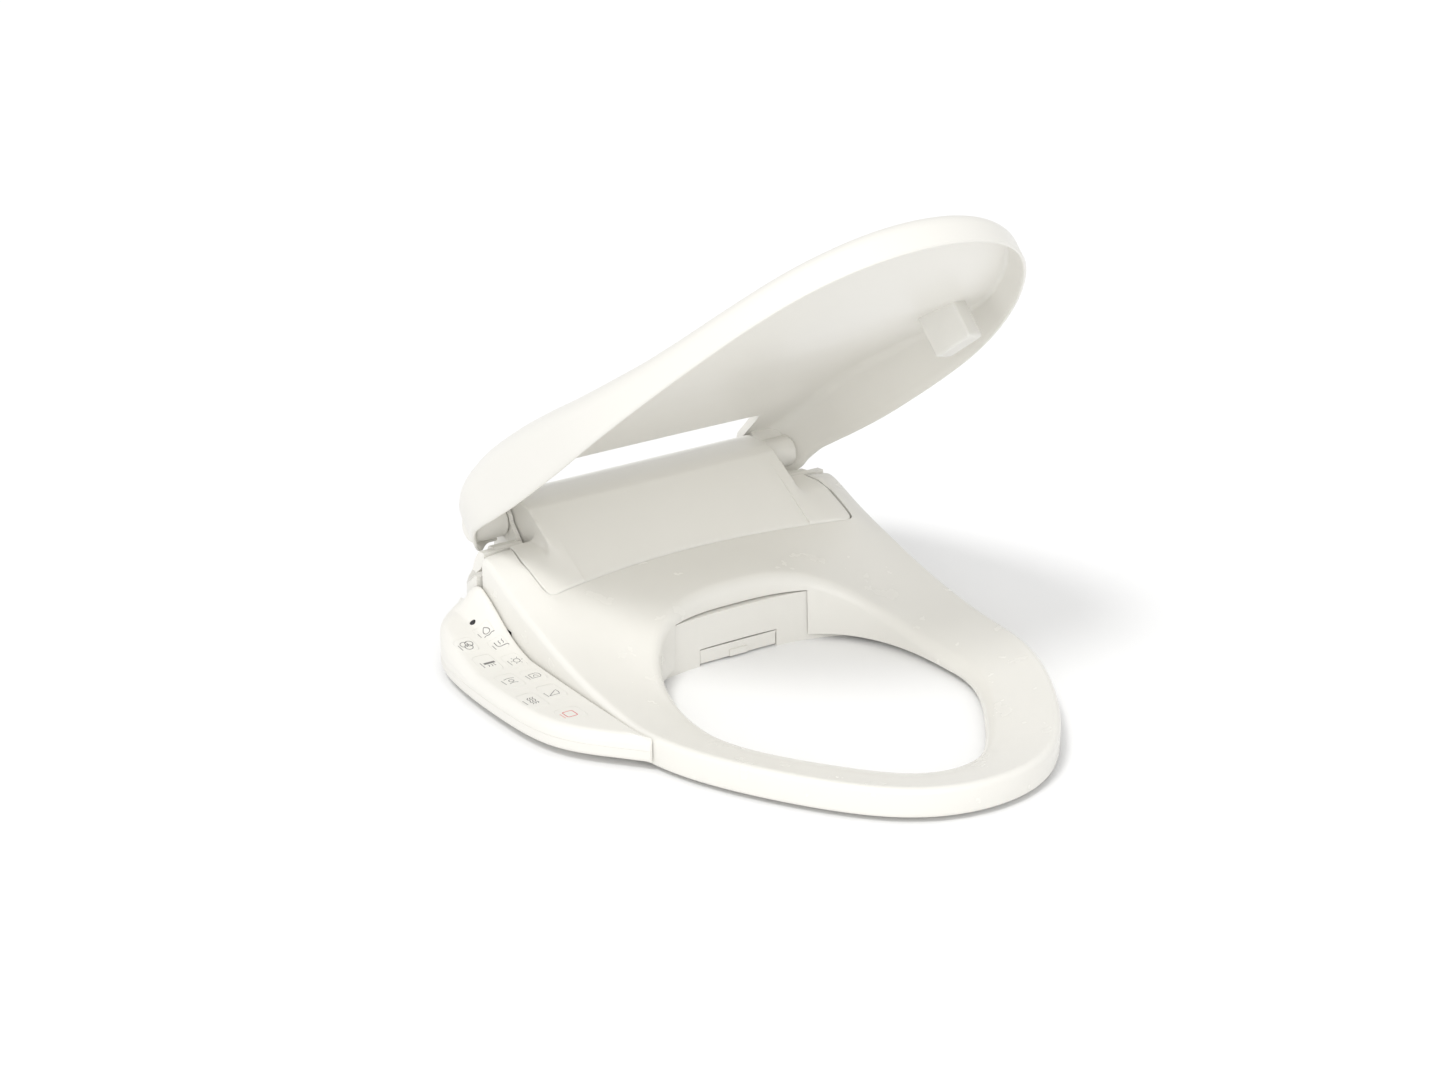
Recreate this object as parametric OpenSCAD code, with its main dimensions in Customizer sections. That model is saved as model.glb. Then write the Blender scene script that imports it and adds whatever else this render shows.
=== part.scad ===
// Electric bidet seat for an elongated bowl. Millimetres, +Z up, front of the seat towards -Y,
// control panel on -X. The origin is midway between the two bowl bolts, on the plane it rests on.

/* [Seat ring] */
// Half width of the seat ring
seat_half_w = 188; // [184:1:192]
// Distance from the bowl bolts to the front of the seat
seat_reach = 458; // [450:1:466]
// Height of the outer crest at the front
crest_front = 31; // [29:0.5:33]
// Half width of the opening
hole_half_w = 124; // [118:1:126]
// Wall of the moulded shells
wall = 3; // [2.5:0.1:3.2]

/* [Lid] */
// How far the lid stands open
lid_open = 46; // [0:1:110]
// Height of the closed lid at its front
lid_front_h = 54; // [52:1:58]

/* [Housing] */
// Half width of the raised centre block
block_half_w = 128.5; // [126:0.5:129]
// Half width of the housing across its shoulders
shoulder_half_w = 184; // [180:1:185]
// Height of the crisp front edge of the block
block_edge_h = 118.5; // [116:0.5:120]

/* [Wash wand] */
// Slope of the wand below the horizontal
wand_slope = 20; // [18:1:22]
// Outer diameter of the wand
wand_d = 9; // [8:0.5:10]

/* [Mounting] */
// Spacing of the two bowl bolts
bolt_spacing = 140; // [130:1:150]
// Bore of the bolt inserts
bolt_bore_d = 8.6; // [8.2:0.1:9]

/* [Hidden] */
$fn = 64;
eps = 0.01;
shell_gap = 0.8;

// hinge line of the lid and the seat
hinge_y = 75;
hinge_z = 101;
shaft_d = 8;
shaft_bore_d = 8.1;

// seat outline
seat_back_y = 34;
seat_mid_y = -seat_reach + 244.5;
seat_front_b = 244.5;
ear_narrowing = 8.0;
ear_inner_x = 153.5;
seat_bottom_z = 5;
bridge_bottom_z = 50;
limb_inner_x = 129;

// opening outline
hole_mid_y = -235;
hole_front_b = 163;
hole_back_b = 149;
hole_back_power = 2.75;

// housing
deck_z = 46;
back_y = 100;
tray_wall = 3;
front_wall_y = -91;
front_wall_x = 126;
flank_x = 153.5;
ridge_y = 31;
shoulder_y = 36;
shoulder_z = 72;
trough_r = 45.5;
corner_z = 36;

// wand
wand_exit = [0, -91, 6.3];
wand_rest = -66;
wand_len = 112;
gate_half_w = 39;
gate_top_z = 14.5;
gate_pin_y = front_wall_y + 0.7;
gate_pin_z = gate_top_z - 1;

// panel
panel_top_z = 30;
panel_bottom_z = 8;
key_gap = 0.2;

// ---- outlines -------------------------------------------------------------------------------

// half width of the pointed front of an outline, at t degrees round from its side
function nose_x(t, a, p, q) = a * cos(t) * (1 + p * pow(sin(t), 2) + q * pow(sin(t), 4));

// half width of the seat behind its widest line
function seat_side_x(y, off) =
    seat_half_w + off - ear_narrowing * pow((y - seat_mid_y) / (seat_back_y - seat_mid_y), 2);

// seat outline, from the left ear round the front to the right ear
function seat_outline(off, back) = concat(
    [for (i = [0:7]) let (y = back + (seat_mid_y - back) * i / 8) [-seat_side_x(y, off), y]],
    [for (i = [0:40]) let (t = 180 * i / 40)
        [-nose_x(t, seat_half_w + off, -0.38, 0.33), seat_mid_y - (seat_front_b + off) * sin(t)]],
    [for (i = [7:-1:0]) let (y = back + (seat_mid_y - back) * i / 8) [seat_side_x(y, off), y]]);

// opening of the seat as a closed loop; off widens it
function hole_outline(off) = concat(
    [for (i = [0:32]) let (t = 180 * i / 32)
        [-nose_x(t, hole_half_w + off, -0.62, 0.42), hole_mid_y - (hole_front_b + off) * sin(t)]],
    [for (i = [1:27]) let (t = 180 * i / 28)
        [(hole_half_w + off) * sgn(cos(t)) * pow(abs(cos(t)), 2 / hole_back_power),
         hole_mid_y + (hole_back_b + off) * pow(sin(t), 2 / hole_back_power)]]);
function sgn(v) = v < 0 ? -1 : 1;

// line where the apron meets the seat, arched towards the back in the middle
function seam_y(x) = -18 - 23 * pow(abs(x) / flank_x, 2);
function seam_line(half, off, n) = [for (i = [0:n]) let (x = half * (2 * i / n - 1)) [x, seam_y(x) + off]];

// curved front wall of the nozzle housing
function wall_y(x) = front_wall_y - 30 * pow(abs(x) / front_wall_x, 3);
function wall_line(half, off, n) = [for (i = [0:n]) let (x = half * (2 * i / n - 1)) [x, wall_y(x) + off]];

// height of the outer crest of the seat along its length
function crest_z(y) = crest_front + (y > -226 ? 36 * pow((y + 226) / 188, 1.735) : 0);

// height of the inner lip of the opening
function lip_z(y) = 16 + (y > -240 ? 49 * pow((y + 240) / 154, 2.2) : 0);

// distance from the centre of the opening to its edge, in direction f
function hole_r(f) = let (c = abs(cos(f)), s = abs(sin(f)), b = sin(f) < 0 ? hole_front_b : hole_back_b,
    n = sin(f) < 0 ? 1.75 : hole_back_power) pow(pow(c / hole_half_w, n) + pow(s / b, n), -1 / n);

// distance from the centre of the opening to the seat's outer edge, in direction f
function seat_r(f) = let (c = abs(cos(f)), s = abs(sin(f)))
    sin(f) < 0 ? pow(pow(c / seat_half_w, 2) + pow(s / (seat_reach + hole_mid_y), 2), -0.5)
    : min(seat_half_w / max(c, eps), (seat_back_y - hole_mid_y + 8) / max(s, eps));

function smooth(a, b, v) = let (t = min(1, max(0, (v - a) / (b - a)))) t * t * (3 - 2 * t);

// height of the seat's top surface, in direction f and at the share s of the way out
function seat_z(f, s) = let (r = hole_r(f) + s * (seat_r(f) - hole_r(f)), y = hole_mid_y + r * sin(f),
    lip = lip_z(hole_mid_y + hole_r(f) * sin(f)), k = min(1, max(0, s)))
    lip + (crest_z(y) - lip) * pow(k, 0.7) + 36 * k * (1 - k) * smooth(-150, -30, y);

// solid below the seat's top surface, lowered by drop
module under_seat_surface(drop) {
    n = 64;
    shares = [-0.12, 0, 0.12, 0.3, 0.55, 0.8, 1, 1.12];
    m = len(shares);
    pts = concat(
        [for (i = [0:n - 1], j = [0:m - 1]) let (f = 360 * i / n, s = shares[j],
            r = hole_r(f) + s * (seat_r(f) - hole_r(f)))
            [r * cos(f), hole_mid_y + r * sin(f), seat_z(f, s) - drop]],
        [for (i = [0:n - 1]) let (f = 360 * i / n, r = hole_r(f) + shares[0] * (seat_r(f) - hole_r(f)))
            [r * cos(f), hole_mid_y + r * sin(f), -20]],
        [for (i = [0:n - 1]) let (f = 360 * i / n, r = hole_r(f) + shares[m - 1] * (seat_r(f) - hole_r(f)))
            [r * cos(f), hole_mid_y + r * sin(f), -20]]);
    low_in = n * m;
    low_out = n * m + n;
    faces = concat(
        [for (i = [0:n - 1], j = [0:m - 2]) let (k = (i + 1) % n)
            [i * m + j, k * m + j, k * m + j + 1, i * m + j + 1]],
        [for (i = [0:n - 1]) let (k = (i + 1) % n) [low_in + i, low_in + k, k * m, i * m]],
        [for (i = [0:n - 1]) let (k = (i + 1) % n) [i * m + m - 1, k * m + m - 1, low_out + k,
            low_out + i]],
        [for (i = [0:n - 1]) let (k = (i + 1) % n) [low_out + i, low_out + k, low_in + k, low_in + i]]);
    polyhedron(points = pts, faces = faces, convexity = 6);
}

// plan of the seat, pulled in by off on every side
module seat_plan(off) {
    difference() {
        polygon(seat_outline(-off, seat_back_y - off));
        polygon(hole_outline(off));
        polygon(concat(
            seam_line(ear_inner_x + shell_gap + off, -shell_gap - off, 16),
            [[ear_inner_x + shell_gap + off, 60], [-ear_inner_x - shell_gap - off, 60]]));
    }
}

// solid of the seat before it is hollowed, pulled in by off
module seat_body(off) {
    intersection() {
        under_seat_surface(off);
        difference() {
            translate([0, 0, seat_bottom_z]) linear_extrude(120, convexity = 6) seat_plan(off);
            bridge_clearance(off);
            ear_clearance();
        }
    }
}

// room under the bridge of the seat for the nozzle housing
module bridge_clearance(off) {
    w = 2 * (limb_inner_x - shell_gap + off);
    translate([-w / 2, -128 - off, -1]) cube([w, 200, bridge_bottom_z + 1 + off]);
}

// the lower back corner of each ear is rounded off round the hinge line
module ear_clearance() {
    translate([-200, -20, -1]) cube([400, 80, 42]);
}

// ---- side profiles --------------------------------------------------------------------------

module along_x(half) {
    translate([-half, 0, 0]) rotate([90, 0, 90]) linear_extrude(2 * half, convexity = 4) children();
}

// side view of the centre block and apron, pulled in by t
module block_profile(t) {
    polygon([[back_y - t, deck_z - 20], [back_y - t, 104 - t], [94 - t, 114 - t], [84, 121 - t],
        [70, 123.5 - t], [54, 123 - t], [43, 121.2 - t], [38 + t * 0.4, block_edge_h - t],
        [-7.5, 92 - t * 1.13], [-60, 65 - t * 1.13], [-60, deck_z - 20]]);
}

// side view of the flanks beside the block, pulled in by t
module flank_profile(t) {
    polygon([[ridge_y - t, 40], [ridge_y - t, 95.2 - t], [22, 94.8 - t], [6, 91 - t],
        [-14, 85 - t * 1.1], [-41, 75.4 - t * 1.1], [-60, 68 - t * 1.1], [-60, 40]]);
}

module cover_body(t) {
    intersection() {
        union() {
            along_x(block_half_w - t) block_profile(t);
            along_x(flank_x - t) flank_profile(t);
            intersection() {
                along_x(flank_x - t) block_profile(t + 0.01);
                translate([-200, -80, 0]) cube([400, 72.5, 200]);
            }
        }
        linear_extrude(200, convexity = 4)
            polygon(concat(seam_line(flank_x - t, t, 16), [[flank_x - t, back_y], [-flank_x + t, back_y]]));
    }
}

// ---- housing --------------------------------------------------------------------------------

module top_cover() color("ivory") difference() {
    intersection() {
        cover_body(0);
        translate([-200, -100, deck_z]) cube([400, 300, 100]);
    }
    difference() {
        intersection() {
            cover_body(2.6);
            translate([-200, -100, deck_z - 1]) cube([400, 300, 100]);
        }
        for (p = screw_at) translate([p[0], p[1], 0]) cylinder(d = 10, h = p[1] > 50 ? 68 : 120);
    }
    for (p = screw_at) translate([p[0], p[1], 0]) cylinder(d = 3.9, h = 58);
    for (s = [-1, 1])
        translate([s * 110, hinge_y, hinge_z]) rotate([0, 90, 0]) cylinder(d = shaft_d + 0.4, h = 60,
            center = true);
}

module tray_plan(off) {
    polygon(concat(wall_line(front_wall_x - off, off, 24),
        [[front_wall_x - off, -32 + off], [150 - off, -32 + off], [150 - off, shoulder_y + off],
         [-150 + off, shoulder_y + off], [-150 + off, -32 + off], [-front_wall_x + off, -32 + off]]));
}

module shoulder_plan(off) {
    half = [[shoulder_half_w - off, shoulder_y + off], [183.5 - off, 50], [179 - off, 62 - off * 0.3],
        [168 - off * 0.8, 77 - off * 0.6], [153 - off * 0.6, 91 - off * 0.8], [134, back_y - off]];
    polygon(concat(half, [for (i = [5:-1:0]) [-half[i][0], half[i][1]]]));
}

// posts for the four cover screws
screw_at = [[118, -8], [-118, -8], [112, 92.4], [-112, 92.4]];

module base_tray() color("whitesmoke") difference() {
    union() {
        linear_extrude(deck_z - eps, convexity = 4) tray_plan(0);
        difference() {
            linear_extrude(shoulder_z, convexity = 4) shoulder_plan(0);
            translate([0, hinge_y, hinge_z]) rotate([0, 90, 0]) cylinder(r = trough_r, h = 400,
                center = true);
            translate([-block_half_w - 1.5, 0, deck_z - eps]) cube([2 * block_half_w + 3, 200, 100]);
        }
    }
    // inside, open at the top behind the deck
    difference() {
        translate([0, 0, tray_wall + 7]) linear_extrude(60) tray_plan(tray_wall);
        translate([-200, -150, deck_z - 3]) cube([400, 112, 40]);
        for (s = [-1, 1]) translate([s * 122 - 18, -150, corner_z - 3]) cube([36, 73, 40]);
        for (p = screw_at) translate([p[0], p[1], 0]) cylinder(d = 10, h = deck_z - eps);
    }
    difference() {
        translate([-block_half_w + 4, 20, tray_wall + 7]) cube([2 * block_half_w - 8,
            back_y - 20 - tray_wall, 60]);
        for (p = screw_at) translate([p[0], p[1], 0]) cylinder(d = 10, h = deck_z - eps);
    }
    difference() {
        translate([0, 0, tray_wall + 7]) linear_extrude(40, convexity = 4) shoulder_plan(tray_wall);
        translate([-block_half_w - 1.5, 0, 0]) cube([2 * block_half_w + 3, 200, 100]);
    }
    // front corners, lower so that they stay under the seat's lip
    for (s = [-1, 1]) translate([s * 122 - 15, -150, corner_z]) cube([30, 70, 40]);
    // recess of the mounting plate
    translate([-98, -40, -1]) cube([196, 122, 7.5]);
    // mouth of the wand and seat of the gate
    translate([-gate_half_w - 0.8, front_wall_y - 2, -1]) cube([2 * gate_half_w + 1.6, 5.5,
        gate_top_z + 2.1]);
    translate([-14, front_wall_y - 1, -1]) cube([28, 16, gate_top_z - 0.5]);
    for (s = [-1, 1])
        translate([s * (gate_half_w + 1), gate_pin_y, gate_pin_z]) rotate([0, 90, 0])
            cylinder(d = 2.1, h = 8, center = true, $fn = 32);
    wand_axis() cylinder(d = wand_d + 3, h = 90, center = true);
    // cover screws, from below
    for (p = screw_at) translate([p[0], p[1], 0]) {
        translate([0, 0, -1]) cylinder(d = 8.4, h = 5.02);
        translate([0, 0, 3]) cylinder(d = 4.2, h = 50);
    }
    // openings of the side and back fittings
    translate([shoulder_half_w - 6, 50, 22]) rotate([0, 90, 0]) cylinder(d = 20.3, h = 30, center = true);
    translate([-100, 98, 24]) rotate([90, 0, 0]) cylinder(d = 12.4, h = 12, center = true);
    translate([shoulder_half_w - 12, 39, 40]) cube([20, 18.6, 10.6]);
}

module mounting_plate() color("gainsboro") difference() {
    translate([-97, -39, 0.2]) cube([194, 120, 5.6]);
    for (s = [-1, 1])
        translate([s * bolt_spacing / 2, 0, 0]) {
            hull() for (y = [-14, 14]) translate([0, y, -1]) cylinder(d = 14, h = 8, $fn = 32);
            translate([-11, -26, 3.2]) cube([22, 52, 5]);
        }
}

module bolt_inserts() color("slategray") for (s = [-1, 1])
    translate([s * bolt_spacing / 2, 0, 0]) difference() {
        union() {
            translate([0, 0, 0.3]) cylinder(d = 13.4, h = 3.1);
            translate([-10.5, -12, 3.4]) cube([21, 24, 2.2]);
        }
        translate([0, 0, -1]) cylinder(d = bolt_bore_d, h = 10);
    }

module release_button() color("silver")
    translate([shoulder_half_w - 4.5, 39.3, 40.3]) cube([5.2, 18, 10]);

module inlet_fitting() color("silver") translate([0, 50, 22]) rotate([0, 90, 0]) difference() {
    union() {
        translate([0, 0, shoulder_half_w + 0.2]) cylinder(d = 20.9, h = 16);
        translate([0, 0, shoulder_half_w - 10]) cylinder(d = 20, h = 11);
        translate([0, 0, shoulder_half_w - 13]) cylinder(d = 21.8, h = 4);
    }
    translate([0, 0, shoulder_half_w - 14]) cylinder(d = 12, h = 40);
}

module inlet_valve() color("dimgray") {
    translate([138, 42, 10.5]) cube([30.5, 28, 26]);
    translate([152, 56, 36.5]) cylinder(d = 18, h = 8);
}

module heater_tank() color("lightgray") {
    translate([-110, -24, 12]) cube([74, 78, 30]);
    translate([-98, 54, 27]) rotate([-90, 0, 0]) cylinder(d = 9, h = 12);
    translate([-52, 54, 27]) rotate([-90, 0, 0]) cylinder(d = 9, h = 12);
}

module power_gland() color("dimgray") translate([-100, back_y, 24]) rotate([-90, 0, 0]) difference() {
    union() {
        translate([0, 0, -5]) cylinder(d = 12, h = 12);
        translate([0, 0, 0.1]) cylinder(d = 16, h = 3);
    }
    translate([0, 0, -6]) cylinder(d = 7, h = 20);
}

module main_board() color("darkgreen") {
    translate([-118, 58, 58]) cube([100, 1.6, 44]);
    for (x = [-108, -84, -60, -36]) translate([x, 59.6, 66]) cube([14, 10, 14]);
}

module fan_scroll() color("gray") translate([86, 18, 11]) difference() {
    union() {
        cylinder(d = 62, h = 28);
        translate([-31, -42, 0]) cube([28, 42, 28]);
    }
    translate([0, 0, 2.5]) cylinder(d = 57, h = 23);
    translate([0, 0, 20]) cylinder(d = 30, h = 10);
    translate([-28.5, -43, 2.5]) cube([23, 44, 23]);
}

module fan_rotor() color("black") translate([86, 18, 14.5]) difference() {
    union() {
        cylinder(d = 50, h = 1.6);
        for (i = [0:15]) rotate([0, 0, i * 22.5]) translate([20, 0, 1.6]) rotate([0, 0, 30]) cube([5,
            1, 16]);
        cylinder(d = 9, h = 8);
    }
    translate([0, 0, -1]) cylinder(d = 3.06, h = 12, $fn = 32);
}

module fan_motor() color("silver") translate([86, 18, 0]) {
    translate([0, 0, 23.5]) cylinder(d = 24, h = 20);
    translate([0, 0, 39.1]) cylinder(d = 40, h = 2);
    translate([0, 0, 14.6]) cylinder(d = 3, h = 9, $fn = 32);
}

module hinge_shafts() color("silver") for (s = [-1, 1])
    translate([s * 127, hinge_y, hinge_z]) rotate([0, 90, 0]) cylinder(d = shaft_d, h = 72, center = true);

module soft_close_dampers() color("dimgray") for (s = [-1, 1])
    translate([s * 92, hinge_y, hinge_z]) rotate([0, 90, 0]) difference() {
        cylinder(d = 26, h = 60, center = true);
        cylinder(d = shaft_d + 0.04, h = 61, center = true);
    }

// ---- wash wand ------------------------------------------------------------------------------

// frame with +Z along the wand, towards its tip, and its origin at the mouth
module wand_axis() {
    translate(wand_exit) rotate([90 + wand_slope, 0, 0]) children();
}

module wand_tube() color("white") wand_axis() difference() {
    union() {
        translate([0, 0, wand_rest - wand_len]) cylinder(d = wand_d, h = wand_len - 16);
        translate([-6, -3, wand_rest - wand_len]) cube([12, 6, 12]);
    }
    translate([0, 0, wand_rest - wand_len - 1]) cylinder(d = 4, h = wand_len);
}

module wand_tip() color("silver") wand_axis() difference() {
    union() {
        translate([0, 0, wand_rest - 16]) cylinder(d = wand_d, h = 16 - wand_d / 2);
        translate([0, 0, wand_rest - wand_d / 2]) sphere(d = wand_d);
    }
    translate([0, 0, wand_rest - 10]) rotate([-90, 0, 0]) cylinder(d = 1.6, h = 10, $fn = 32);
    translate([0, 0, wand_rest - 6]) rotate([-90, 0, 0]) cylinder(d = 1.6, h = 10, $fn = 32);
}

module wand_rail() color("lightgray") wand_axis() difference() {
    translate([-11, -11.5, wand_rest - wand_len - 4]) cube([22, 17, wand_len + 26]);
    translate([-6.4, -5.2, wand_rest - wand_len - 5]) cube([12.8, 30, 200]);
}

module wand_motor() color("silver") wand_axis() {
    translate([0, -1, wand_rest - 76]) rotate([0, 90, 0]) translate([0, 0, 11.2]) cylinder(d = 24, h = 16);
}

module nozzle_gate() color("ivory") {
    translate([-gate_half_w, front_wall_y - 0.1, 2]) cube([2 * gate_half_w, 2, gate_top_z - 2.2]);
    translate([-9, front_wall_y - 1.4, 2]) cube([18, 1.4, 6]);
    for (s = [-1, 1])
        translate([s * (gate_half_w + 1.4), gate_pin_y, gate_pin_z]) rotate([0, 90, 0])
            cylinder(d = 2, h = 3.4, center = true, $fn = 32);
}

// ---- seat -----------------------------------------------------------------------------------

module seat_top_shell() color("ivory") difference() {
    seat_body(0);
    difference() {
        seat_body(wall);
        for (s = [-1, 1]) translate([s * 167 - 12, 24, 40]) cube([24, 12, 60]);
    }
    translate([0, 0, seat_bottom_z - 1]) linear_extrude(4) seat_plan(wall);
}

module seat_bottom_shell() color("whitesmoke") intersection() {
    difference() {
        translate([0, 0, seat_bottom_z]) linear_extrude(2.6, convexity = 6) seat_plan(wall + 0.25);
        bridge_clearance(wall + 0.3);
        ear_clearance();
    }
    translate([-200, -500, 0]) cube([400, 480, 20]);
}

module seat_heater() color("orange") intersection() {
    difference() {
        under_seat_surface(wall + 0.1);
        under_seat_surface(wall + 0.6);
    }
    translate([0, 0, 0]) linear_extrude(120, convexity = 6) difference() {
        polygon(seat_outline(-22, -120));
        polygon(hole_outline(16));
        translate([-400, -150]) square([800, 300]);
    }
}

module seat_bumpers() color("dimgray") for (s = [-1, 1]) {
    translate([s * 158, -150, 0]) cylinder(d = 22, h = seat_bottom_z);
    translate([s * 100, -365, 0]) cylinder(d = 22, h = seat_bottom_z);
}

// solid between x0 and x1 with a side view given as [y, z] points
module side_slab(x0, x1, pts) {
    translate([x0, 0, 0]) rotate([90, 0, 90]) linear_extrude(x1 - x0, convexity = 4) polygon(pts);
}

// one arm from the back of an ear, round the shoulder, to an eye beside the block
module seat_hinge_arm() {
    difference() {
        union() {
            side_slab(155, 177.4, [[34.2, 93], [34.2, 85], [40, 77], [48, 70.5], [54, 72], [50, 82],
                [43, 92]]);
            side_slab(137, 164, [[34.6, 92.5], [34.6, 84], [40, 77], [47, 71.3], [50, 72], [51.4, 78], [51.2, 88],
                [49, 92], [41, 93.2]]);
            side_slab(130, 155.1, [[41, 76.5], [48, 70.8], [54, 72], [50, 82], [45, 84]]);
            side_slab(130, 134, [[41, 76.5], [48, 70.8], [56, 72.6], [83, 92], [83, 101], [66, 105],
                [45, 84]]);
            translate([130, hinge_y, hinge_z]) rotate([0, 90, 0]) cylinder(r = 12, h = 4);
        }
        translate([125, hinge_y, hinge_z]) rotate([0, 90, 0]) cylinder(d = shaft_bore_d, h = 20);
    }
}

module seat_hinge_arms() color("ivory") {
    seat_hinge_arm();
    mirror([1, 0, 0]) seat_hinge_arm();
}

// ---- lid ------------------------------------------------------------------------------------

lid_half_w = seat_half_w + 6;
lid_nose_y = -seat_reach - 14;
lid_mid_y = lid_nose_y + 300;
lid_back_y = hinge_y + 22;
lid_corner_l = 85;
lid_corner_w = 38;
notch_half_w = block_half_w + 2.5;
notch_y = 34;

// height of the closed lid's top along its length
function lid_top_z(y) = lid_front_h + 83 * smooth(lid_nose_y + 60, hinge_y + 20, y);

// height of the closed lid's rim along its length
function lid_rim_z(y) = 26 + 66 * pow(max(0, y - lid_nose_y - 57) / 490, 2);

// half width of the lid behind its widest line, with its rounded back corner
function lid_side_x(y) = let (c = max(0, y - lid_back_y + lid_corner_l) / lid_corner_l)
    lid_half_w - 10 * pow((y - lid_mid_y) / 234, 2) - lid_corner_w * (1 - sqrt(max(0, 1 - c * c)));

module lid_plan(off) {
    ys = [for (i = [0:14]) lid_mid_y + (lid_back_y - off - lid_mid_y) * (1 - pow(1 - i / 14, 1.6))];
    polygon(concat(
        [for (i = [14:-1:1]) [-lid_side_x(ys[i] + off * 0.6) + off, ys[i]]],
        [for (i = [0:40]) let (t = 180 * i / 40)
            [-nose_x(t, lid_half_w - off, -0.06, 0.2), lid_mid_y - (300 - off) * sin(t)]],
        [for (i = [1:14]) [lid_side_x(ys[i] + off * 0.6) - off, ys[i]]]));
}

// side view of the closed lid: top curve, rounded back, rim
module lid_side(off) {
    low = off > 0 ? 60 : 0;
    polygon(concat(
        [for (i = [0:18]) let (y = lid_nose_y - 1 + (84 - lid_nose_y) * i / 18) [y, lid_top_z(y) - off]],
        [[93 - off, 134.5 - off], [lid_back_y + 1, 129 - off], [lid_back_y + 1, 88 - low], [90, 82 - low],
            [78, 80 - low], [66, 83 - low]],
        [for (i = [0:18]) let (y = 56 - (57 - lid_nose_y) * i / 18) [y, lid_rim_z(y) - low]]));
}

module open_lid() {
    translate([0, hinge_y, hinge_z]) rotate([-lid_open, 0, 0]) translate([0, -hinge_y, -hinge_z])
        children();
}

// solid of the closed lid, pulled in by off
module lid_solid(off) {
    intersection() {
        along_x(200) lid_side(off);
        linear_extrude(200, convexity = 4) lid_plan(off);
    }
}

module lid_shell() color("ivory") open_lid() difference() {
    lid_solid(0);
    lid_solid(wall);
    translate([-notch_half_w, notch_y, 0]) cube([2 * notch_half_w, 200, 300]);
    // slots that let the seat's arms pass when the lid is right back
    for (s = [-1, 1]) translate([s * (notch_half_w + 2.4) - 2.6, 60, 50]) cube([5.2, 60, 52.5]);
}

module lid_bumpers() color("lightgray") open_lid() intersection() {
    lid_solid(wall);
    translate([140, -262, 0]) rotate([0, 0, 20]) translate([-9.5, -20, 26.8]) cube([19, 40, 60]);
}

module lid_knuckles() color("ivory") open_lid() for (s = [-1, 1]) difference() {
    intersection() {
        lid_solid(wall);
        translate([s * 151.5, hinge_y, hinge_z]) rotate([0, 90, 0]) union() {
            cylinder(r = 14, h = 33, center = true);
            translate([-28, -4, -14]) cube([28, 8, 28]);
        }
    }
    translate([s * 151.5, hinge_y, hinge_z]) rotate([0, 90, 0]) cylinder(d = shaft_bore_d, h = 60,
        center = true);
}

// ---- control panel --------------------------------------------------------------------------

// plan of the panel arm, pulled in by off
module panel_plan(off) {
    x_in = -seat_half_w - 1.2 - off;
    polygon([[x_in, 58 - off], [-197 - off * 0.3, 54 - off], [-207 + off * 0.2, 48 - off],
        [-217 + off * 0.6, 39 - off * 0.8],
        [-227 + off * 0.8, 27 - off * 0.6], [-235 + off * 0.9, 10 - off * 0.3], [-241 + off, -12],
            [-245.5 + off, -50],
        [-247 + off, -95], [-246 + off, -138], [-241.5 + off, -166], [-233 + off * 0.9, -187 + off * 0.4],
        [-221 + off * 0.7, -205 + off * 0.7], [-208 + off * 0.6, -220 + off * 0.8],
        [-198 + off * 0.4, -232 + off], [x_in, -244 + off * 1.3]]);
}

// rise of the panel's top along its length
panel_rise_y = [[-280, 0], [-60, 0], [-30, 4], [-5, 9], [15, 12.5], [32, 14.5], [70, 14.5]];

// rise of the panel's top across it
panel_rise_x = [[-300, 0], [-247, 0], [-240, 4], [-233, 9], [-226, 15], [-150, 15]];

// rise of the ridge that joins the panel to the side of the seat, along it and across it
ridge_rise_y = [[-280, -20], [-60, 0], [-30, 6], [-5, 18], [15, 27], [34, 36], [46, 22], [56, 15],
    [70, 14]];
ridge_rise_x = [[-300, -20], [-206, 6], [-202, 14], [-197, 24], [-187, 40], [-150, 40]];

function lifted(line, base) = [for (p = line) [p[0], base + p[1]]];

module panel_top_surface(rise_y, rise_x, off) {
    intersection() {
        translate([-300, 0, 0]) rotate([90, 0, 90]) linear_extrude(300, convexity = 4)
            polygon(concat(lifted(rise_y, panel_top_z - off), [[70, 0], [-280, 0]]));
        translate([0, 100, 0]) rotate([90, 0, 0]) linear_extrude(400, convexity = 4)
            polygon(concat(lifted(rise_x, panel_top_z - off), [[-150, 0], [-300, 0]]));
    }
}

// solid of the panel above its parting line, lowered and pulled in by off
module panel_solid(off) {
    intersection() {
        translate([0, 0, 18 - (off > 0 ? 1 : 0)]) linear_extrude(80, convexity = 4) panel_plan(off);
        union() {
            panel_top_surface(panel_rise_y, panel_rise_x, off);
            panel_top_surface(ridge_rise_y, ridge_rise_x, off);
        }
    }
}

// name, x, y, width and length of each pad
keys = [["key_water_heat", -202, -4, 15, 15], ["key_seat_heat", -200, -25, 15, 16],
    ["key_light", -201, -53, 16, 24], ["key_clean", -202, -85, 17, 24], ["key_pressure", -206, -121,
        18, 28],
    ["key_position", -225, -14, 17, 20], ["key_rear_wash", -223, -46, 18, 28],
    ["key_front_wash", -224, -84, 18, 28], ["key_dry", -229, -128, 18, 30], ["key_stop", -216, -167,
        22, 24]];

module key_prism(i, grow) {
    k = keys[i];
    translate([k[1] - k[3] / 2 - grow, k[2] - k[4] / 2 - grow, 18]) cube([k[3] + 2 * grow,
        k[4] + 2 * grow, 80]);
}

panel_screw_at = [[-216, -196], [-201, 46]];

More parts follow.
